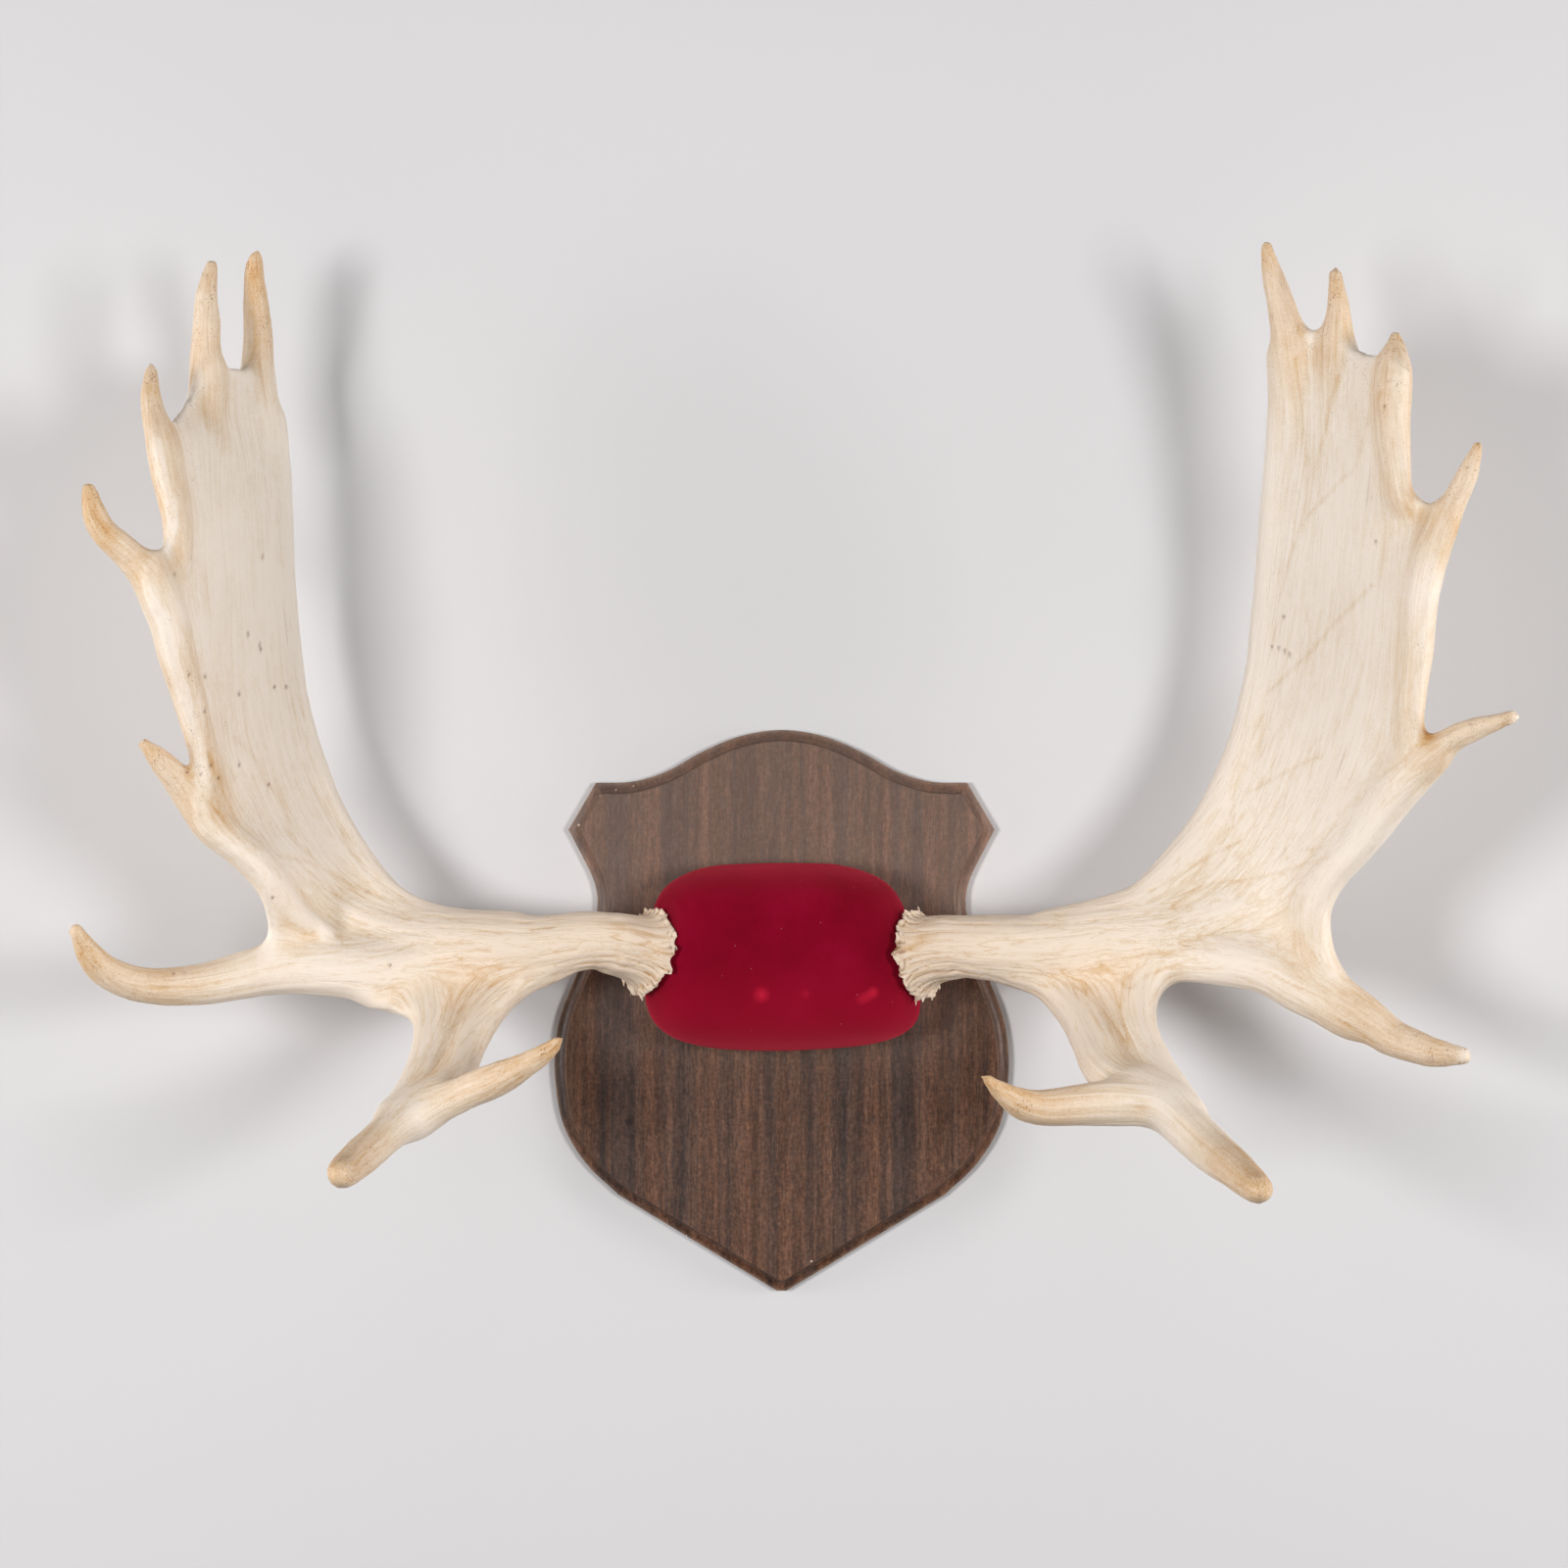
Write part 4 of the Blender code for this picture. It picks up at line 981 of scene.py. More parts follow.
def surface_net(box):
    """Corner of a cell = the mean of the places where the field is zero on its 12 edges."""
    far = box.far - ROUGH_FIT
    inside = far < 0
    size = np.array(far.shape) - 1
    full = sum(inside[i:i + size[0], j:j + size[1], k:k + size[2]].astype(np.int8)
               for i, j, k in CORNERS)
    active = (full > 0) & (full < 8)
    number = np.full(active.shape, -1)
    number[active] = np.arange(active.sum())
    cells = np.argwhere(active)
    total, hits, faces = np.zeros((len(cells), 3)), np.zeros(len(cells)), []
    for axis in range(3):
        step = np.eye(3, dtype=int)[axis]
        one, two = np.eye(3, dtype=int)[(axis + 1) % 3], np.eye(3, dtype=int)[(axis + 2) % 3]
        for corner in (0 * one, one, two, one + two):
            start = cells + corner
            f0, f1 = far[tuple(start.T)], far[tuple((start + step).T)]
            crossed = (f0 < 0) != (f1 < 0)
            share = f0[crossed] / (f0[crossed] - f1[crossed])
            total[crossed] += start[crossed] + share[:, None] * step
            hits[crossed] += 1
        start = cells[(cells @ one > 0) & (cells @ two > 0)]
        a, b = inside[tuple(start.T)], inside[tuple((start + step).T)]
        for chosen, order in ((a & ~b, (0 * one, -one, -one - two, -two)),
                              (b & ~a, (0 * one, -two, -one - two, -one))):
            faces.append(np.stack([number[tuple((start[chosen] + o).T)] for o in order], 1))
    return box.low + STEP * total / hits[:, None], np.concatenate(faces)


def field_at(grid, low, points):
    """Trilinear reading: the eight grid values round a point, weighted by nearness."""
    place = (points - low) / STEP
    base = np.clip(place.astype(int), 0, np.array(grid.shape)[:3] - 2)
    part = place - base
    total = 0
    for corner in CORNERS:
        weight = np.where(corner, part, 1 - part).prod(1)
        value = grid[tuple((base + corner).T)]
        total = total + (weight if value.ndim == 1 else weight[:, None]) * value
    return total


def refine_near(mesh, centre, reach):
    """Each edge within reach of the centre cut in two, once."""
    bm = bmesh.new()
    bm.from_mesh(mesh)
    close = {v for v in bm.verts if (v.co - centre).length < reach}
    bmesh.ops.subdivide_edges(bm, edges=[e for e in bm.edges if set(e.verts) <= close],
                              cuts=1, use_grid_fill=True)
    bmesh.ops.triangulate(bm, faces=[f for f in bm.faces if len(f.verts) > 4])
    bm.to_mesh(mesh)
    bm.free()


def even_mesh(box, name, foot):
    """The net with finer faces at the foot, its corners slid to be even: half way to their
    neighbours' mean, then back to the surface along the field's slope, SLIDES times."""
    points, faces = surface_net(box)
    mesh = mesh_of(name, points, faces)
    refine_near(mesh, foot, FINE_REACH)
    points, edges = points_of(mesh), edges_of(mesh)
    slopes = np.stack(np.gradient(box.far, STEP), -1)
    for _ in range(SLIDES):
        points = 0.5 * points + 0.5 * neighbour_mean(points, edges)
        slope = field_at(slopes, box.low, points)
        steep = np.maximum((slope ** 2).sum(1, keepdims=True), 0.1)
        away = field_at(box.far, box.low, points)[:, None] - ROUGH_FIT
        points -= np.clip(away * slope / steep, -STEP, STEP)
    set_points(mesh, points)
    return mesh


# %% [markdown]
# ## Antlers: the way the bone grew
# Antler bone is laid down in long fibres that run out along the beam, fan across the palm and
# turn into each tine, and every groove and streak follows them. So each vertex gets a place in
# "grain space", in which a step along the fibres is short and a step across them is as long as
# it is in life. Any noise read there comes out as streaks that follow the bone. A UV map would
# need seams at every fork; a least-squares fit over the surface needs none.

# %% Fibre direction
# Typed, then scaled by 1.022 and moved by 2 mm by other programs.
LEFT_FIBRES = [   # (x, z) in mm: lines that the grain follows across the palm
    [(-274, 65), (-310, 78), (-356, 116), (-388, 172), (-405, 241), (-411, 313), (-415, 384),
     (-419, 456)],
    [(-274, 57), (-315, 63), (-361, 90), (-405, 139), (-431, 196), (-442, 264), (-445, 333),
     (-448, 400), (-451, 459)],
    [(-284, 49), (-330, 55), (-371, 74), (-407, 106), (-448, 151)],
    [(-305, 47), (-345, 41), (-372, 40)],
    [(-165, 50), (-205, 43), (-238, 24), (-256, -4), (-266, -36)],
    [(-320, 46), (-297, 32), (-283, 10), (-281, -16), (-284, -42)],
]
RIGHT_FIBRES = [
    [(278, 69), (314, 82), (355, 121), (378, 182), (392, 251), (399, 323), (403, 394),
     (408, 460)],
    [(278, 61), (324, 69), (372, 102), (413, 157), (437, 221), (452, 290), (458, 360),
     (464, 425)],
    [(288, 55), (339, 63), (385, 86), (423, 121), (468, 164)],
    [(309, 51), (360, 53), (406, 63), (441, 108), (482, 159)],
    [(165, 52), (205, 44), (240, 24), (259, -4), (272, -34)],
    [(322, 48), (301, 36), (288, 12), (287, -14), (292, -38)],
]
SHORTEN = 26.0                   # how much shorter a step along the grain is made
HOLD = 30.0                      # how much more a step along the grain counts in the fit
RIB_NEAR, RIB_FADE = 5 * MM, 12 * MM     # off a rib: still ribbed, and where that fades out
BATCHES = 24                     # parts that the vertices are done in, to save memory


def grain_lines(spines, fibres, height):
    """Places along every rib and every fibre of the palm, the way the grain runs there, the
    radius, and which of them belong to ribs."""
    places, ways, reach = [], [], []
    lines = [(line, radii) for line, radii in spines.values()]
    on_rib = sum(len(line) for line, _ in lines)
    for knots in fibres:
        flat = through(np.array(knots, float) * MM, 5)
        lines.append((np.stack([flat[:, 0], -height(flat), flat[:, 1]], 1),
                      np.full(len(flat), SHEET_HALF)))
    for line, radii in lines:
        run = np.gradient(line, axis=0)
        places.append(line)
        ways.append(unit(run))
        reach.append(radii)
    return (*map(np.concatenate, (places, ways, reach)), on_rib)


def fibre_direction(points, normals, lines):
    """The main direction of all the ribs' own directions, each weighted by one over the
    fourth power of its distance, and laid into the surface. Also how sure it is: 1 where
    all agree, 0 where two ways are as strong. And how ribbed a place is: 1 on a rib and up to
    RIB_NEAR from it, and 0 a further RIB_FADE away."""
    places, ways, reach, on_rib = lines
    squares = (ways[:, :, None] * ways[:, None, :]).reshape(-1, 9)
    total, off_rib = np.empty((len(points), 9)), np.empty(len(points))
    for part in np.array_split(np.arange(len(points)), BATCHES):
        away = np.linalg.norm(points[part, None] - places[None], axis=2) - 0.8 * reach
        total[part] = np.maximum(away, 4 * MM) ** -4.0 @ squares
        off_rib[part] = away[:, :on_rib].min(1)
    total = total.reshape(-1, 3, 3)
    flat = np.eye(3) - normals[:, :, None] * normals[:, None, :]
    strength, directions = np.linalg.eigh(flat @ total @ flat)
    strongest, sure = directions[:, :, 2], 1 - strength[:, 1] / strength[:, 2]
    strongest -= (strongest * normals).sum(1, keepdims=True) * normals
    return unit(strongest), sure, np.clip(1 - (off_rib - RIB_NEAR) / RIB_FADE, 0, 1)


# %% Grain space
def grain_space(mesh, points, fibres, rounds=360):
    """Three numbers for each vertex whose slope on every triangle is, as nearly as it can be,
    the surface's own across the fibres and 1/SHORTEN of it along them: the least-squares
    answer, found by conjugate gradients."""
    mesh.calc_loop_triangles()
    triangles = np.empty(len(mesh.loop_triangles) * 3, np.int32)
    mesh.loop_triangles.foreach_get("vertices", triangles)
    triangles = triangles.reshape(-1, 3)
    corner = points[triangles]
    facing = np.cross(corner[:, 1] - corner[:, 0], corner[:, 2] - corner[:, 0])
    area = np.maximum(np.linalg.norm(facing, axis=1), 1e-12)
    facing /= area[:, None]
    way = fibres[triangles]
    sign = np.sign((way * way[:, :1]).sum(2, keepdims=True))
    way = (way * np.where(sign == 0, 1, sign)).sum(1)
    way -= (way * facing).sum(1, keepdims=True) * facing
    way = unit(way)
    across = np.cross(facing, way)
    opposite = np.roll(corner, -2, axis=1) - np.roll(corner, -1, axis=1)
    slope = np.cross(facing[:, None], opposite) / area[:, None, None]
    along_slope = (slope * way[:, None]).sum(2)
    across_slope = (slope * across[:, None]).sum(2)
    weight = area[:, None] / area.mean()
    block = (HOLD * along_slope[:, :, None] * along_slope[:, None]
             + across_slope[:, :, None] * across_slope[:, None]) * weight[:, :, None]
    wanted = (HOLD / SHORTEN * along_slope[:, :, None] * way[:, None]
              + across_slope[:, :, None] * across[:, None]) * weight[:, :, None]

    def gather(rows):
        return np.stack([np.bincount(triangles.ravel(), rows[:, :, c].ravel(), len(points))
                         for c in range(3)], 1)

    diagonal = np.bincount(triangles.ravel(), np.einsum("fii->fi", block).ravel(),
                           len(points))[:, None]
    answer = points.copy()
    miss = gather(wanted) - gather(block @ answer[triangles])
    scaled = miss / diagonal
    step, size = scaled, (miss * scaled).sum(0)
    for _ in range(rounds):
        pushed = gather(block @ step[triangles])
        amount = size / np.maximum((step * pushed).sum(0), 1e-30)
        answer += amount * step
        miss = miss - amount * pushed
        scaled = miss / diagonal
        size, before = (miss * scaled).sum(0), size
        step = scaled + step * (size / np.maximum(before, 1e-30))
    return answer


HASH_PRIMES = np.array([73856093, 19349663, 83492791])     # one for each axis


def lattice_noise(places, size, seed):
    """Smooth noise from 0 to 1: a random number at each point of a lattice, eased between.
    The number is a hash: the point's own three numbers, stirred bit by bit."""
    scaled = places / size
    base = np.floor(scaled).astype(np.int64)
    part = eased(scaled - base)
    total = np.zeros(len(places))
    for corner in CORNERS:
        at = (base + corner) * HASH_PRIMES
        mixed = (at[:, 0] ^ at[:, 1] ^ at[:, 2]) + seed * 2654435761
        mixed = (mixed ^ (mixed >> 15)) * 2246822519 & 0xFFFFFFFF
        mixed = (mixed ^ (mixed >> 13)) * 3266489917 & 0xFFFFFFFF
        mixed ^= mixed >> 16
        total += np.where(corner, part, 1 - part).prod(1) * (mixed & 0xFFFF) / 0xFFFF
    return total


# %% [markdown]
# ## Antlers: grooves, lip, pits and veins
# Close up, the beam is grooved lengthwise and flares at its foot into the burr, whose lip is
# torn into teeth and covered with small bony pearls. Blood vessels have left fine branching
# furrows on the palm's face. Coarse relief is cut into the mesh here, fine relief is left to
# the material. Numbers that the colour needs, such as how hollow or how close to a tip a place
# is, are stored on the vertices.

# %% Veins seen on the palms, in photo pixels
LEFT_VEINS = [
    [(243, 753), (256, 765), (268, 781), (274, 797), (288, 816), (296, 837), (302, 855),
     (317, 869), (328, 881), (339, 891), (372, 908), (404, 920)],
    [(210, 810), (242, 845), (282, 869), (328, 883)],
    [(300, 974), (340, 970), (383, 974), (428, 970), (470, 962), (514, 951), (568, 944)],
    [(218, 768), (226, 784), (232, 796), (240, 798), (246, 790)],
    [(330, 905), (368, 926), (420, 938)],
]
RIGHT_VEINS = [
    [(1319, 368), (1325, 400), (1329, 437), (1331, 480), (1332, 502), (1327, 530), (1319, 558),
     (1313, 575), (1307, 601), (1301, 624), (1298, 653)],
    [(1364, 385), (1355, 415), (1349, 446), (1342, 476), (1335, 508), (1327, 530)],
    [(1403, 404), (1392, 437), (1385, 461), (1378, 482), (1368, 489), (1355, 504), (1340, 519),
     (1330, 530)],
    [(1398, 598), (1375, 621), (1356, 640), (1338, 663), (1317, 683), (1294, 706)],
    [(1346, 771), (1305, 790), (1273, 809)],
    [(1352, 874), (1311, 888), (1276, 897), (1229, 903), (1197, 923)],
    [(1264, 859), (1232, 874), (1188, 903)],
    [(1123, 982), (1144, 1003), (1153, 1006), (1170, 994), (1197, 987), (1247, 988)],
]

# %% Stains, painted highlights and pits seen on them
# Five broad marks answer a colour reading of the render at or near their place: the last two
# on the left, and on the right the last and those at (1190, 1140) and (1240, 1180). The
# others were set one by one.
# Brown stains above 0, lighter marks below 0. The lighter marks at (172, 650) and (197, 725) on
# the outer margin and (520, 965) on the beam are painted highlights, and (285, 610) paints light
# on the palm where it faces away from the lights; the other lighter marks are bleached bone.
LEFT_STAINS_AND_HIGHLIGHTS = [   # (px, py, radius in pixels, strength: brown above 0, bleached below)
    (92, 515, 26, 0.8), (110, 545, 16, 0.5), (84, 975, 30, 0.55), (259, 275, 18, 0.9),
    (262, 310, 26, 0.4), (215, 282, 14, 0.5), (155, 388, 14, 0.4), (152, 765, 16, 0.5),
    (336, 1195, 34, 0.6), (566, 1064, 22, 0.6), (240, 385, 12, 0.35), (180, 436, 12, 0.35),
    (163, 580, 12, 0.3), (218, 795, 16, 0.35), (425, 1060, 40, 0.3), (492, 1040, 36, 0.25),
    (172, 650, 20, -0.4), (197, 725, 22, -0.4), (285, 610, 40, -0.35),
    (520, 965, 30, -0.25),
]
RIGHT_STAINS = [
    (1292, 258, 16, 0.6), (1363, 288, 14, 0.4), (1424, 350, 14, 0.4), (1508, 460, 18, 0.5),
    (1486, 540, 14, 0.7), (1474, 566, 14, 0.7), (1447, 508, 16, 0.7), (1457, 752, 14, 0.7),
    (1536, 738, 12, 0.5), (1549, 734, 7, -0.9), (1470, 1074, 22, 0.5), (1494, 1076, 7, -0.9),
    (1008, 1100, 20, 0.6), (1040, 1122, 24, 0.35), (1284, 1210, 34, 0.6), (1190, 1140, 40, 0.1),
    (1240, 1180, 30, 0.15), (1336, 674, 14, 0.35), (1156, 1050, 30, 0.25),
    (1282, 650, 24, -0.2), (1388, 872, 26, -0.3), (1205, 960, 44, 0.3),
]
LEFT_PITS = [   # (px, py): dark holes, about 2 mm wide and 3 mm high
    (265, 658), (266, 663), (209, 690), (280, 701), (292, 701), (244, 708), (253, 647),
    (193, 688), (209, 726), (191, 788), (204, 790), (223, 794), (215, 781), (244, 780),
    (274, 801), (178, 586), (268, 568), (196, 569), (398, 985), (177, 993), (188, 992),
    (278, 916), (374, 910),
]
RIGHT_PITS = [(1413, 415), (1404, 553), (1310, 630), (1298, 660), (1305, 662), (1311, 665),
              (1316, 668)]
PIT_RADIUS = 1.5                 # pixels
MARK_SHAPE = 0.8, 1.25           # marks are drawn a little higher than wide
PALM_OFF = 0.22                  # first guess of how far the palm is off the wall, metres


# %% Places on the palms
def line_distance(places, line):
    """Distance in the plane from each place to the nearest stretch of the line."""
    best = np.full(len(places), 1.0)
    for a, b in zip(line[:-1], line[1:]):
        run = b - a
        share = np.clip((places - a) @ run / (run @ run), 0, 1)[:, None]
        best = np.minimum(best, np.linalg.norm(places - a - share * run, axis=1))
    return best


def on_palm(pixels, height):
    """(x, z) of places on the palm's front, whose height off the wall is found in 3 rounds."""
    where = seen_at(pixels, PALM_OFF)
    for _ in range(3):
        where = np.stack([seen_at([pixel], float(off))[0]
                          for pixel, off in zip(pixels, height(where) + SHEET_HALF)])
    return where


def ridges(places, size, seed):
    """Noise folded over: 1 along thin wandering lines, falling to 0 between them."""
    return 1 - np.abs(2 * lattice_noise(places, size, seed) - 1)


# %% The burr's torn lip
TOOTH_WIDE, TOOTH_DEEP = 7.5 * MM, 9.0 * MM
TOOTH_FROM = 0.58                # how strong the noise must be to leave a gap
RAGGED = 2.4 * MM                # how unevenly far out the lip reaches
RAGGED_WIDE, RAGGED_FINE = 12 * MM, 4 * MM
NOISE_ROUND = 36 * MM            # radius of the circle on which the lip's noise is read
LIP_FROM, LIP_GROWS = 27 * MM, 8 * MM    # radius where the lip begins, and how fast
LIP_LONG, BURR_TONE = 11 * MM, 30 * MM   # along the beam: the lip, and the burr's colour
BURR_WIDEST = 60 * MM
PEARLS, PEARL_SIZES, PEARL_HIGH = 46, (1.8, 3.4), 0.35     # mm, and a share of a half ball
PEARL_LOWEST = 1.5 * MM


def torn_lip(points, normals, ribs, seed):
    """Noise that depends on the angle round the beam only: it draws parts of the lip back
    along the beam, which leaves teeth, and makes it reach out unevenly. Pearls are half domes
    on random places of the lip."""
    random = np.random.default_rng(seed)
    foot, axis, across, upward = burr_frame(ribs)
    out = points - foot
    along = out @ axis
    x, z = out @ across, out @ upward
    side = np.maximum(np.hypot(x, z), 1e-6)
    round_it = np.stack([x / side, z / side, 0 * side], 1) * NOISE_ROUND
    lip = np.clip((side - LIP_FROM) / LIP_GROWS, 0, 1) * np.exp(-(along / LIP_LONG) ** 2)
    flare = np.exp(-(np.maximum(along, 0) / BURR_TONE) ** 2) * (side < BURR_WIDEST)
    teeth = lattice_noise(round_it, TOOTH_WIDE, seed) + 0.5 * lattice_noise(
        round_it, 0.4 * TOOTH_WIDE, seed + 1)
    ragged = lattice_noise(round_it, RAGGED_WIDE, seed + 2) + 0.5 * lattice_noise(
        round_it, RAGGED_FINE, seed + 3) - 0.75
    move = (lip * np.clip(teeth - TOOTH_FROM, 0, 1) * TOOTH_DEEP)[:, None] * axis
    move += (lip * ragged * RAGGED / side)[:, None] * (x[:, None] * across
                                                       + z[:, None] * upward)
    near = np.flatnonzero((lip > 0.5) & (along > PEARL_LOWEST))
    chosen = points[random.choice(near, PEARLS, replace=False)]
    size = random.uniform(*PEARL_SIZES, PEARLS) * MM
    away = np.linalg.norm(points[near, None] - chosen, axis=2) / size
    dome = (np.sqrt(np.maximum(1 - away ** 2, 0)) * size).max(1) * PEARL_HIGH
    move[near] += dome[:, None] * normals[near]
    return move, flare


# %% Cut the relief
GROOVE_WIDE, GROOVE_DEEP = 7.0 * MM, 1.2 * MM
CREASE_WIDE = 3.2 * MM
VEIN_WIDE, VEIN_DEEP = 1.6 * MM, 0.25 * MM
HALO_WIDE = 2.4 * VEIN_WIDE      # the darker skirt along a vein
SWELL_WIDE, LUMP_WIDE = 26 * MM, 9 * MM
BEAM_REACH = 240 * MM            # how far from the foot the bone has the beam's roughness
SEAT_FLAT = 2 * MM               # the foot's own face is left flat up to here


def cut_relief(mesh, ribs, veins, height, seed):
    """Move each vertex along its normal by slow swelling, less the grooves, creases and
    furrows, and by the torn lip."""
    points, normals, grain = points_of(mesh), normals_of(mesh), taken(mesh, "grain")
    foot, axis, _, _ = burr_frame(ribs)
    on_beam = np.exp(-(np.linalg.norm(points - foot, axis=1) / BEAM_REACH) ** 2)
    rib = taken(mesh, "rib")
    groove = ridges(grain, GROOVE_WIDE, seed) ** 3
    crease = ridges(grain, CREASE_WIDE, seed + 1) ** 3
    swell = lattice_noise(points, SWELL_WIDE, seed + 2) - 0.5
    lumps = lattice_noise(points, LUMP_WIDE, seed + 3) - 0.5
    depth = GROOVE_DEEP * (0.25 + 0.25 * rib + 0.6 * on_beam)
    move = -depth * (groove + 0.55 * crease)
    move += (1.0 * swell + 0.3 * lumps) * MM * (0.5 + 0.5 * on_beam)
    facing = np.clip((-normals[:, 1] - 0.1) * 3, 0, 1)
    furrow, halo = np.zeros(len(points)), np.zeros(len(points))
    for pixels in veins:
        path = through(on_palm(np.array(pixels, float), height), 4)
        gap = line_distance(points[:, [0, 2]], path)
        furrow = np.maximum(furrow, np.exp(-(gap / VEIN_WIDE) ** 2) * facing)
        halo = np.maximum(halo, np.exp(-(gap / HALO_WIDE) ** 2) * facing)
    seat = np.clip((points - foot) @ axis / SEAT_FLAT, 0, 1)
    lip, flare = torn_lip(points, normals, ribs, seed + 4)
    set_points(mesh, points + (seat * (move - VEIN_DEEP * furrow))[:, None] * normals + lip)
    put(mesh, "furrow", 0.55 * furrow + 0.45 * halo)
    put(mesh, "beam", on_beam)
    put(mesh, "burr", flare)


# %% Store what the colour needs
PROUD_SIZES = ("fine_proud", 3, 0.22 * MM), ("proud", 42, 1.6 * MM)  # name, rounds, height
TIP_REACH = 170 * MM
WARM_REACH, WARM_REACH_TINE_1 = 92 * MM, 115 * MM
BROW_FROM, BROW_FADE = 4 * MM, 75 * MM       # height below which it warms, and how slowly
BROW_INSIDE = 0.385              # metres from the middle; further out is tine 1


def near_marks(points, marks):
    """Strength of round marks (px, py, radius, strength) at the pixel of each point."""
    pixels, total = pixels_of(points), np.zeros(len(points))
    for px, py, radius, strength in marks:
        gap = np.linalg.norm((pixels - [px, py]) / MARK_SHAPE, axis=1) / radius
        total += strength * np.exp(-gap ** 2)
    return np.clip(total, -1, 1)


def store_colour_guides(mesh, ribs, colour_marks, pits):
    """Hollow or proud: how far a place stands off the smoothed surface, at two sizes. Tip: how
    near it is to a tine's tip. Warm: the same over the whole tine, or down the brow palm.
    Stain and highlight, and pit: the marks seen; a few of the stains are painted highlights."""
    points, normals, edges = points_of(mesh), normals_of(mesh), edges_of(mesh)
    smooth = points.copy()
    for name, rounds, size in PROUD_SIZES:
        for _ in range(rounds):
            smooth = neighbour_mean(smooth, edges)
        put(mesh, name, np.clip(((points - smooth) * normals).sum(1) / size, -1, 1))
    tips = np.array([knots[-1][:3] for name, knots in ribs.items() if "tine" in name], float)
    reach = np.array([WARM_REACH_TINE_1 if name == "tine_1" else WARM_REACH
                      for name in ribs if "tine" in name])
    away = np.linalg.norm(points[:, None] - tips * [1, -1, 1] * MM, axis=2)
    tip = np.clip(1 - away.min(1) / TIP_REACH, 0, 1) ** 1.2
    warm = np.maximum(0.3 * tip, taken(mesh, "rib") * np.clip(1.7 - (away / reach).min(1), 0, 1))
    put(mesh, "tip", tip)
    brow = np.clip((BROW_FROM - points[:, 2]) / BROW_FADE, 0, 1)
    brow *= np.abs(points[:, 0]) < BROW_INSIDE
    put(mesh, "warm", np.maximum(warm, 0.06 * brow))
    front = np.clip(-4 * normals[:, 1], 0, 1)
    # Stains, with some painted highlights among them.
    put(mesh, "stain_and_highlight", near_marks(points, colour_marks))
    put(mesh, "pit", front * near_marks(points, [(*pit, PIT_RADIUS, 1.0) for pit in pits]))


# %% [markdown]
# ## Dry antler bone, scrubbed and unsealed
# The bone is ivory where it is proud and rubbed, tan in its grooves, and browner and speckled
# with pores towards the tips; the proud places are also painted light and the hollows painted
# shade. Streaks follow the fibres, so they are read in grain space, where noise comes out drawn
# along the bone; speckles and patches are read in plain space.

# %% Bone colour
LINE, HAIR, THREAD, PATCH, MOTTLE, GRIT = 5.0, 2.4, 1.2, 42.0, 6.0, 1.5     # sizes in mm
BASE_LIGHTNESS = 0.97
HONEY, PORE_BROWN = paint("DCB27A"), paint("7C3A04")
bone = Finish("antler_bone")
place = bone.add("TexCoord", out="Object")
grain_at = bone.add("Attribute", attribute_name="grain", out="Vector")
guide = {name: bone.add("Attribute", attribute_name=name, out="Fac") for name in (
    "sure", "beam", "proud", "fine_proud", "warm", "tip", "stain_and_highlight", "furrow", "burr", "pit")}
threads = bone.noise(grain_at, THREAD, 3.0, 0.6)
streaks = bone.noise(grain_at, HAIR, 4.0, 0.62)
patches = bone.noise(place, PATCH, 4.0, 0.55)
mottle = bone.noise(place, MOTTLE, 3.0, 0.6)
grit = bone.noise(place, GRIT, 1.0)


def hairlines(size, thin):
    """Thin lines along the grain: where noise of that size in mm crosses its middle."""
    off = bone.calc("ABSOLUTE", bone.calc("SUBTRACT", bone.noise(grain_at, size, 1.0), 0.5))
    return bone.add("MapRange", off, thin, 0.0)


lines = bone.calc("MAXIMUM", hairlines(LINE, 0.05),
                  bone.calc("MULTIPLY", hairlines(HAIR, 0.07), 0.7))
line_share = bone.calc("MULTIPLY_ADD", guide["beam"], -0.36, -0.10)
along = bone.added(0.0, (lines, 0.3, line_share), (streaks, 0.5, 0.16), (threads, 0.5, 0.34))
# Proud places lighter and hollows darker: partly the bone's wear and patina, partly painted light
# and shade.
lightness = bone.added(
    BASE_LIGHTNESS, (along, 0.0, guide["sure"]), (patches, 0.5, 0.34), (mottle, 0.5, 0.20),
    (grit, 0.5, 0.28), (guide["proud"], 0.0, 0.07), (guide["fine_proud"], 0.0, 0.10),
    (guide["warm"], 0.0, -0.40), (guide["stain_and_highlight"], 0.0, -0.34), (guide["furrow"], 0.0, -0.12),
    (guide["beam"], 0.0, -0.08))
ivory = bone.add("ValToRGB", lightness, stops=(
    (0.05, "B87C3C"), (0.24, "CC9858"), (0.40, "DAB282"), (0.53, "E4C8A2"), (0.66, "EBD6BC"),
    (0.80, "F3E4D0"), (1.0, "FCF2E6")))
reddened = bone.calc("MULTIPLY_ADD", guide["beam"], 0.30,
                     bone.calc("MULTIPLY_ADD", guide["warm"], 0.20, 0.07))
tint = bone.mix(reddened, ivory, HONEY, blend_type="MULTIPLY")

# %% Pores, pits and the burr's dark hollows
PORE_APART, PORES_HERE, SPECK_APART = 2.0, 10.0, 7.0             # mm
pore_far = bone.add("TexVoronoi", place, Scale=per(PORE_APART))
pore_here = bone.noise(place, PORES_HERE)
pore_size = bone.calc("MULTIPLY_ADD", guide["tip"], 0.34,
                      bone.add("MapRange", pore_here, 0.45, 0.75, -0.16, 0.10))
pore = bone.add("MapRange", bone.calc("SUBTRACT", pore_size, pore_far), -0.05, 0.06)
speck = bone.add("MapRange", bone.add("TexVoronoi", grain_at, Scale=per(SPECK_APART)), 0.12,
                 0.06)
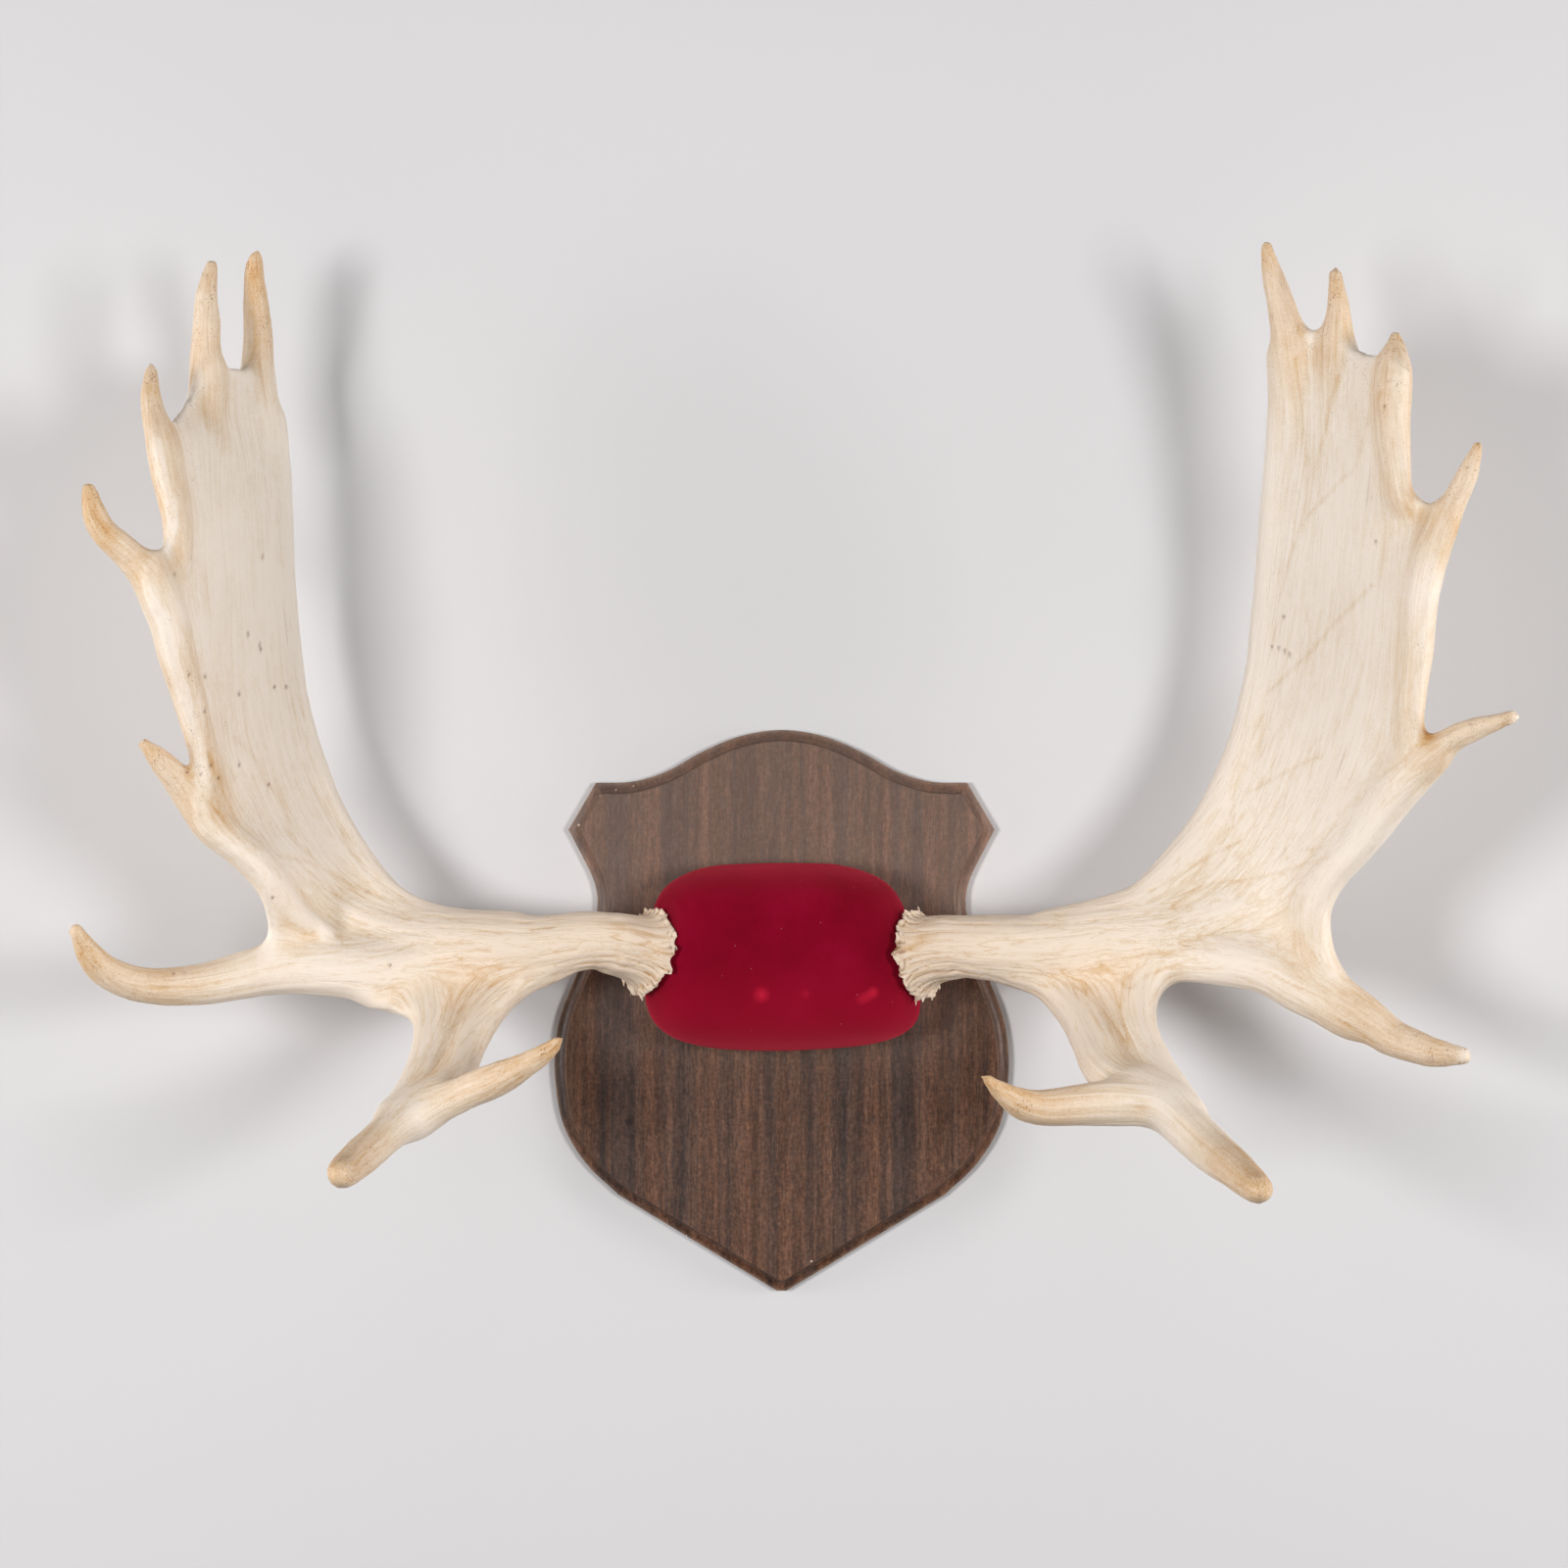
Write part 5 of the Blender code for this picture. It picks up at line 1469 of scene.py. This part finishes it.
# The burr's deepest hollows, where the surface lies well below its smoothed self, are drawn
# darker.
burr_hollow_dark = bone.calc("MULTIPLY", bone.add("MapRange", guide["fine_proud"], -0.55, -1.0),
                  bone.add("MapRange", guide["burr"], 0.35, 0.9))
dark = 0.0
for value, share in ((pore, 0.55), (speck, 0.20), (burr_hollow_dark, 0.55), (guide["pit"], 0.95)):
    dark = bone.calc("MAXIMUM", bone.calc("MULTIPLY", value, share), dark)
normal = None
for height, depth_mm, strength in (
        (streaks, 0.8, 0.45), (threads, 0.3, 0.6), (grit, 0.2, 0.35),
        (bone.calc("SUBTRACT", 1.0, lines), 0.35, 0.5),
        (bone.calc("SUBTRACT", 1.0, pore), 0.25, 0.5)):
    normal = bone.bump(height, strength, depth_mm, normal)
bone.set(Base_Color=bone.mix(dark, tint, PORE_BROWN),
         Roughness=bone.add("MapRange", streaks, 0.2, 0.8, 0.44, 0.60),
         Specular_IOR_Level=0.40, Normal=normal)

# %% Make both antlers
ANTLERS = (("left", LEFT, LEFT_RIM, LEFT_BOWL, LEFT_FIBRES, LEFT_VEINS, LEFT_STAINS_AND_HIGHLIGHTS, LEFT_PITS),
           ("right", RIGHT, RIGHT_RIM, RIGHT_BOWL, RIGHT_FIBRES, RIGHT_VEINS, RIGHT_STAINS,
            RIGHT_PITS))
SEEDS = {"left": 11, "right": 23}
for side, ribs, rim, bowl, fibres, veins, colour_marks, pits in ANTLERS:
    box, spines, height = antler_field(ribs, rim, bowl)
    coarse = even_mesh(box, side + "_coarse", Vector(burr_frame(ribs)[0]))
    places = points_of(coarse)
    ways, sure, rib = fibre_direction(places, normals_of(coarse),
                                      grain_lines(spines, fibres, height))
    put(coarse, "grain", grain_space(coarse, places, ways))
    put(coarse, "rib", rib)
    put(coarse, "sure", sure)
    fine = subdivided(coarse, side + "_antler")
    cut_relief(fine, ribs, veins, height, SEEDS[side])
    store_colour_guides(fine, ribs, colour_marks, pits)
    antler = link(side + "_antler", fine)
    fine.shade_smooth()
    dress(antler, bone)
    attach(antler, "root")
    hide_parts(side + "_beam", side + "_palm", side + "_lateral_tine",
                side + "_brow_palm")
    print(side, "antler:", sum(len(f.vertices) - 2 for f in fine.polygons), "triangles")

# %% [markdown]
# ## Wall and light
# The wall is plain and pale. Two soft lights stand in front of it at about the camera's height,
# the stronger one to the left: each palm throws one shadow inwards and one outwards, as the
# photo shows. A weak one hangs above the camera, and two wide ones at the sides reach into the
# palms' bowls, which face each other. The wall is a ring whose hole lies behind the plaque, so
# that the plaque's back can be seen from behind, and its own back lets the view through.

# %% Wall paint
ROLLER_MARK = 16                 # mm
wall_paint = Finish("wall_paint")
place = wall_paint.add("TexCoord", out="Object")
wall_paint.set(Base_Color=paint("DEDCDD"), Roughness=0.9, Specular_IOR_Level=0.1,
               Normal=wall_paint.bump(wall_paint.noise(place, ROLLER_MARK), 0.2, 0.1))
seen_through = wall_paint.add("MixShader", wall_paint.add("NewGeometry", out="Backfacing"),
                              wall_paint.shader.outputs[0], wall_paint.add("BsdfTransparent"))
wall_paint.feed(wall_paint.tree.nodes["Material Output"].inputs["Surface"], seen_through)

# %% Wall
WALL_REACH = 5.0
WALL_BEHIND = 0.6 * MM           # how far behind the plaque's back it lies
HOLE_SHARE = 0.96                # the hole is that much of the plaque's outline
hole = shield_outline(4) * HOLE_SHARE
turn = np.arctan2(hole[:, 1], hole[:, 0])
rim = WALL_REACH * np.stack([np.cos(turn), np.sin(turn)], 1)
wall_points = np.zeros((2, len(hole), 3))
wall_points[..., [0, 2]] = hole, rim
wall_points[..., 1] = WALL_BEHIND
wall_mesh = mesh_of("wall", wall_points.reshape(-1, 3), ring_quads(2, len(hole)))
if wall_mesh.polygons[0].normal.y > 0:
    wall_mesh.flip_normals()
wall = link("wall", wall_mesh)
dress(wall, wall_paint)

# %% Lights
LIGHTS = (   # name, place and width in metres, watts
    ("light_left", (-1.85, -3.4, 0.2), 0.95, 73.0),
    ("light_right", (1.85, -3.4, 0.2), 0.95, 58.0),
    ("light_high", (0.0, -3.0, 1.9), 1.8, 4.0),
    ("fill_left", (-3.2, -0.8, 0.2), 1.4, 40.0),
    ("fill_right", (3.2, -0.8, 0.2), 1.4, 50.0),
)
AIMED_AT = (0.0, -0.1, 0.15)
SKY, SKY_STRENGTH = (0.97, 0.98, 1.0, 1.0), 0.02


def soft_light(name, place, size, watts):
    data = bpy.data.lights.new(name, "AREA")
    data.shape, data.size, data.energy = "DISK", size, watts
    lamp = link(name, data)
    lamp.location = place
    turned = (Vector(AIMED_AT) - Vector(place)).to_track_quat("-Z", "Y")
    lamp.rotation_euler = turned.to_euler()


for light in LIGHTS:
    soft_light(*light)
world = bpy.data.worlds.new("studio")
world.use_nodes = True
background = world.node_tree.nodes["Background"]
background.inputs["Color"].default_value = SKY
background.inputs["Strength"].default_value = SKY_STRENGTH
scene.world = world
scene.view_settings.view_transform = "Standard"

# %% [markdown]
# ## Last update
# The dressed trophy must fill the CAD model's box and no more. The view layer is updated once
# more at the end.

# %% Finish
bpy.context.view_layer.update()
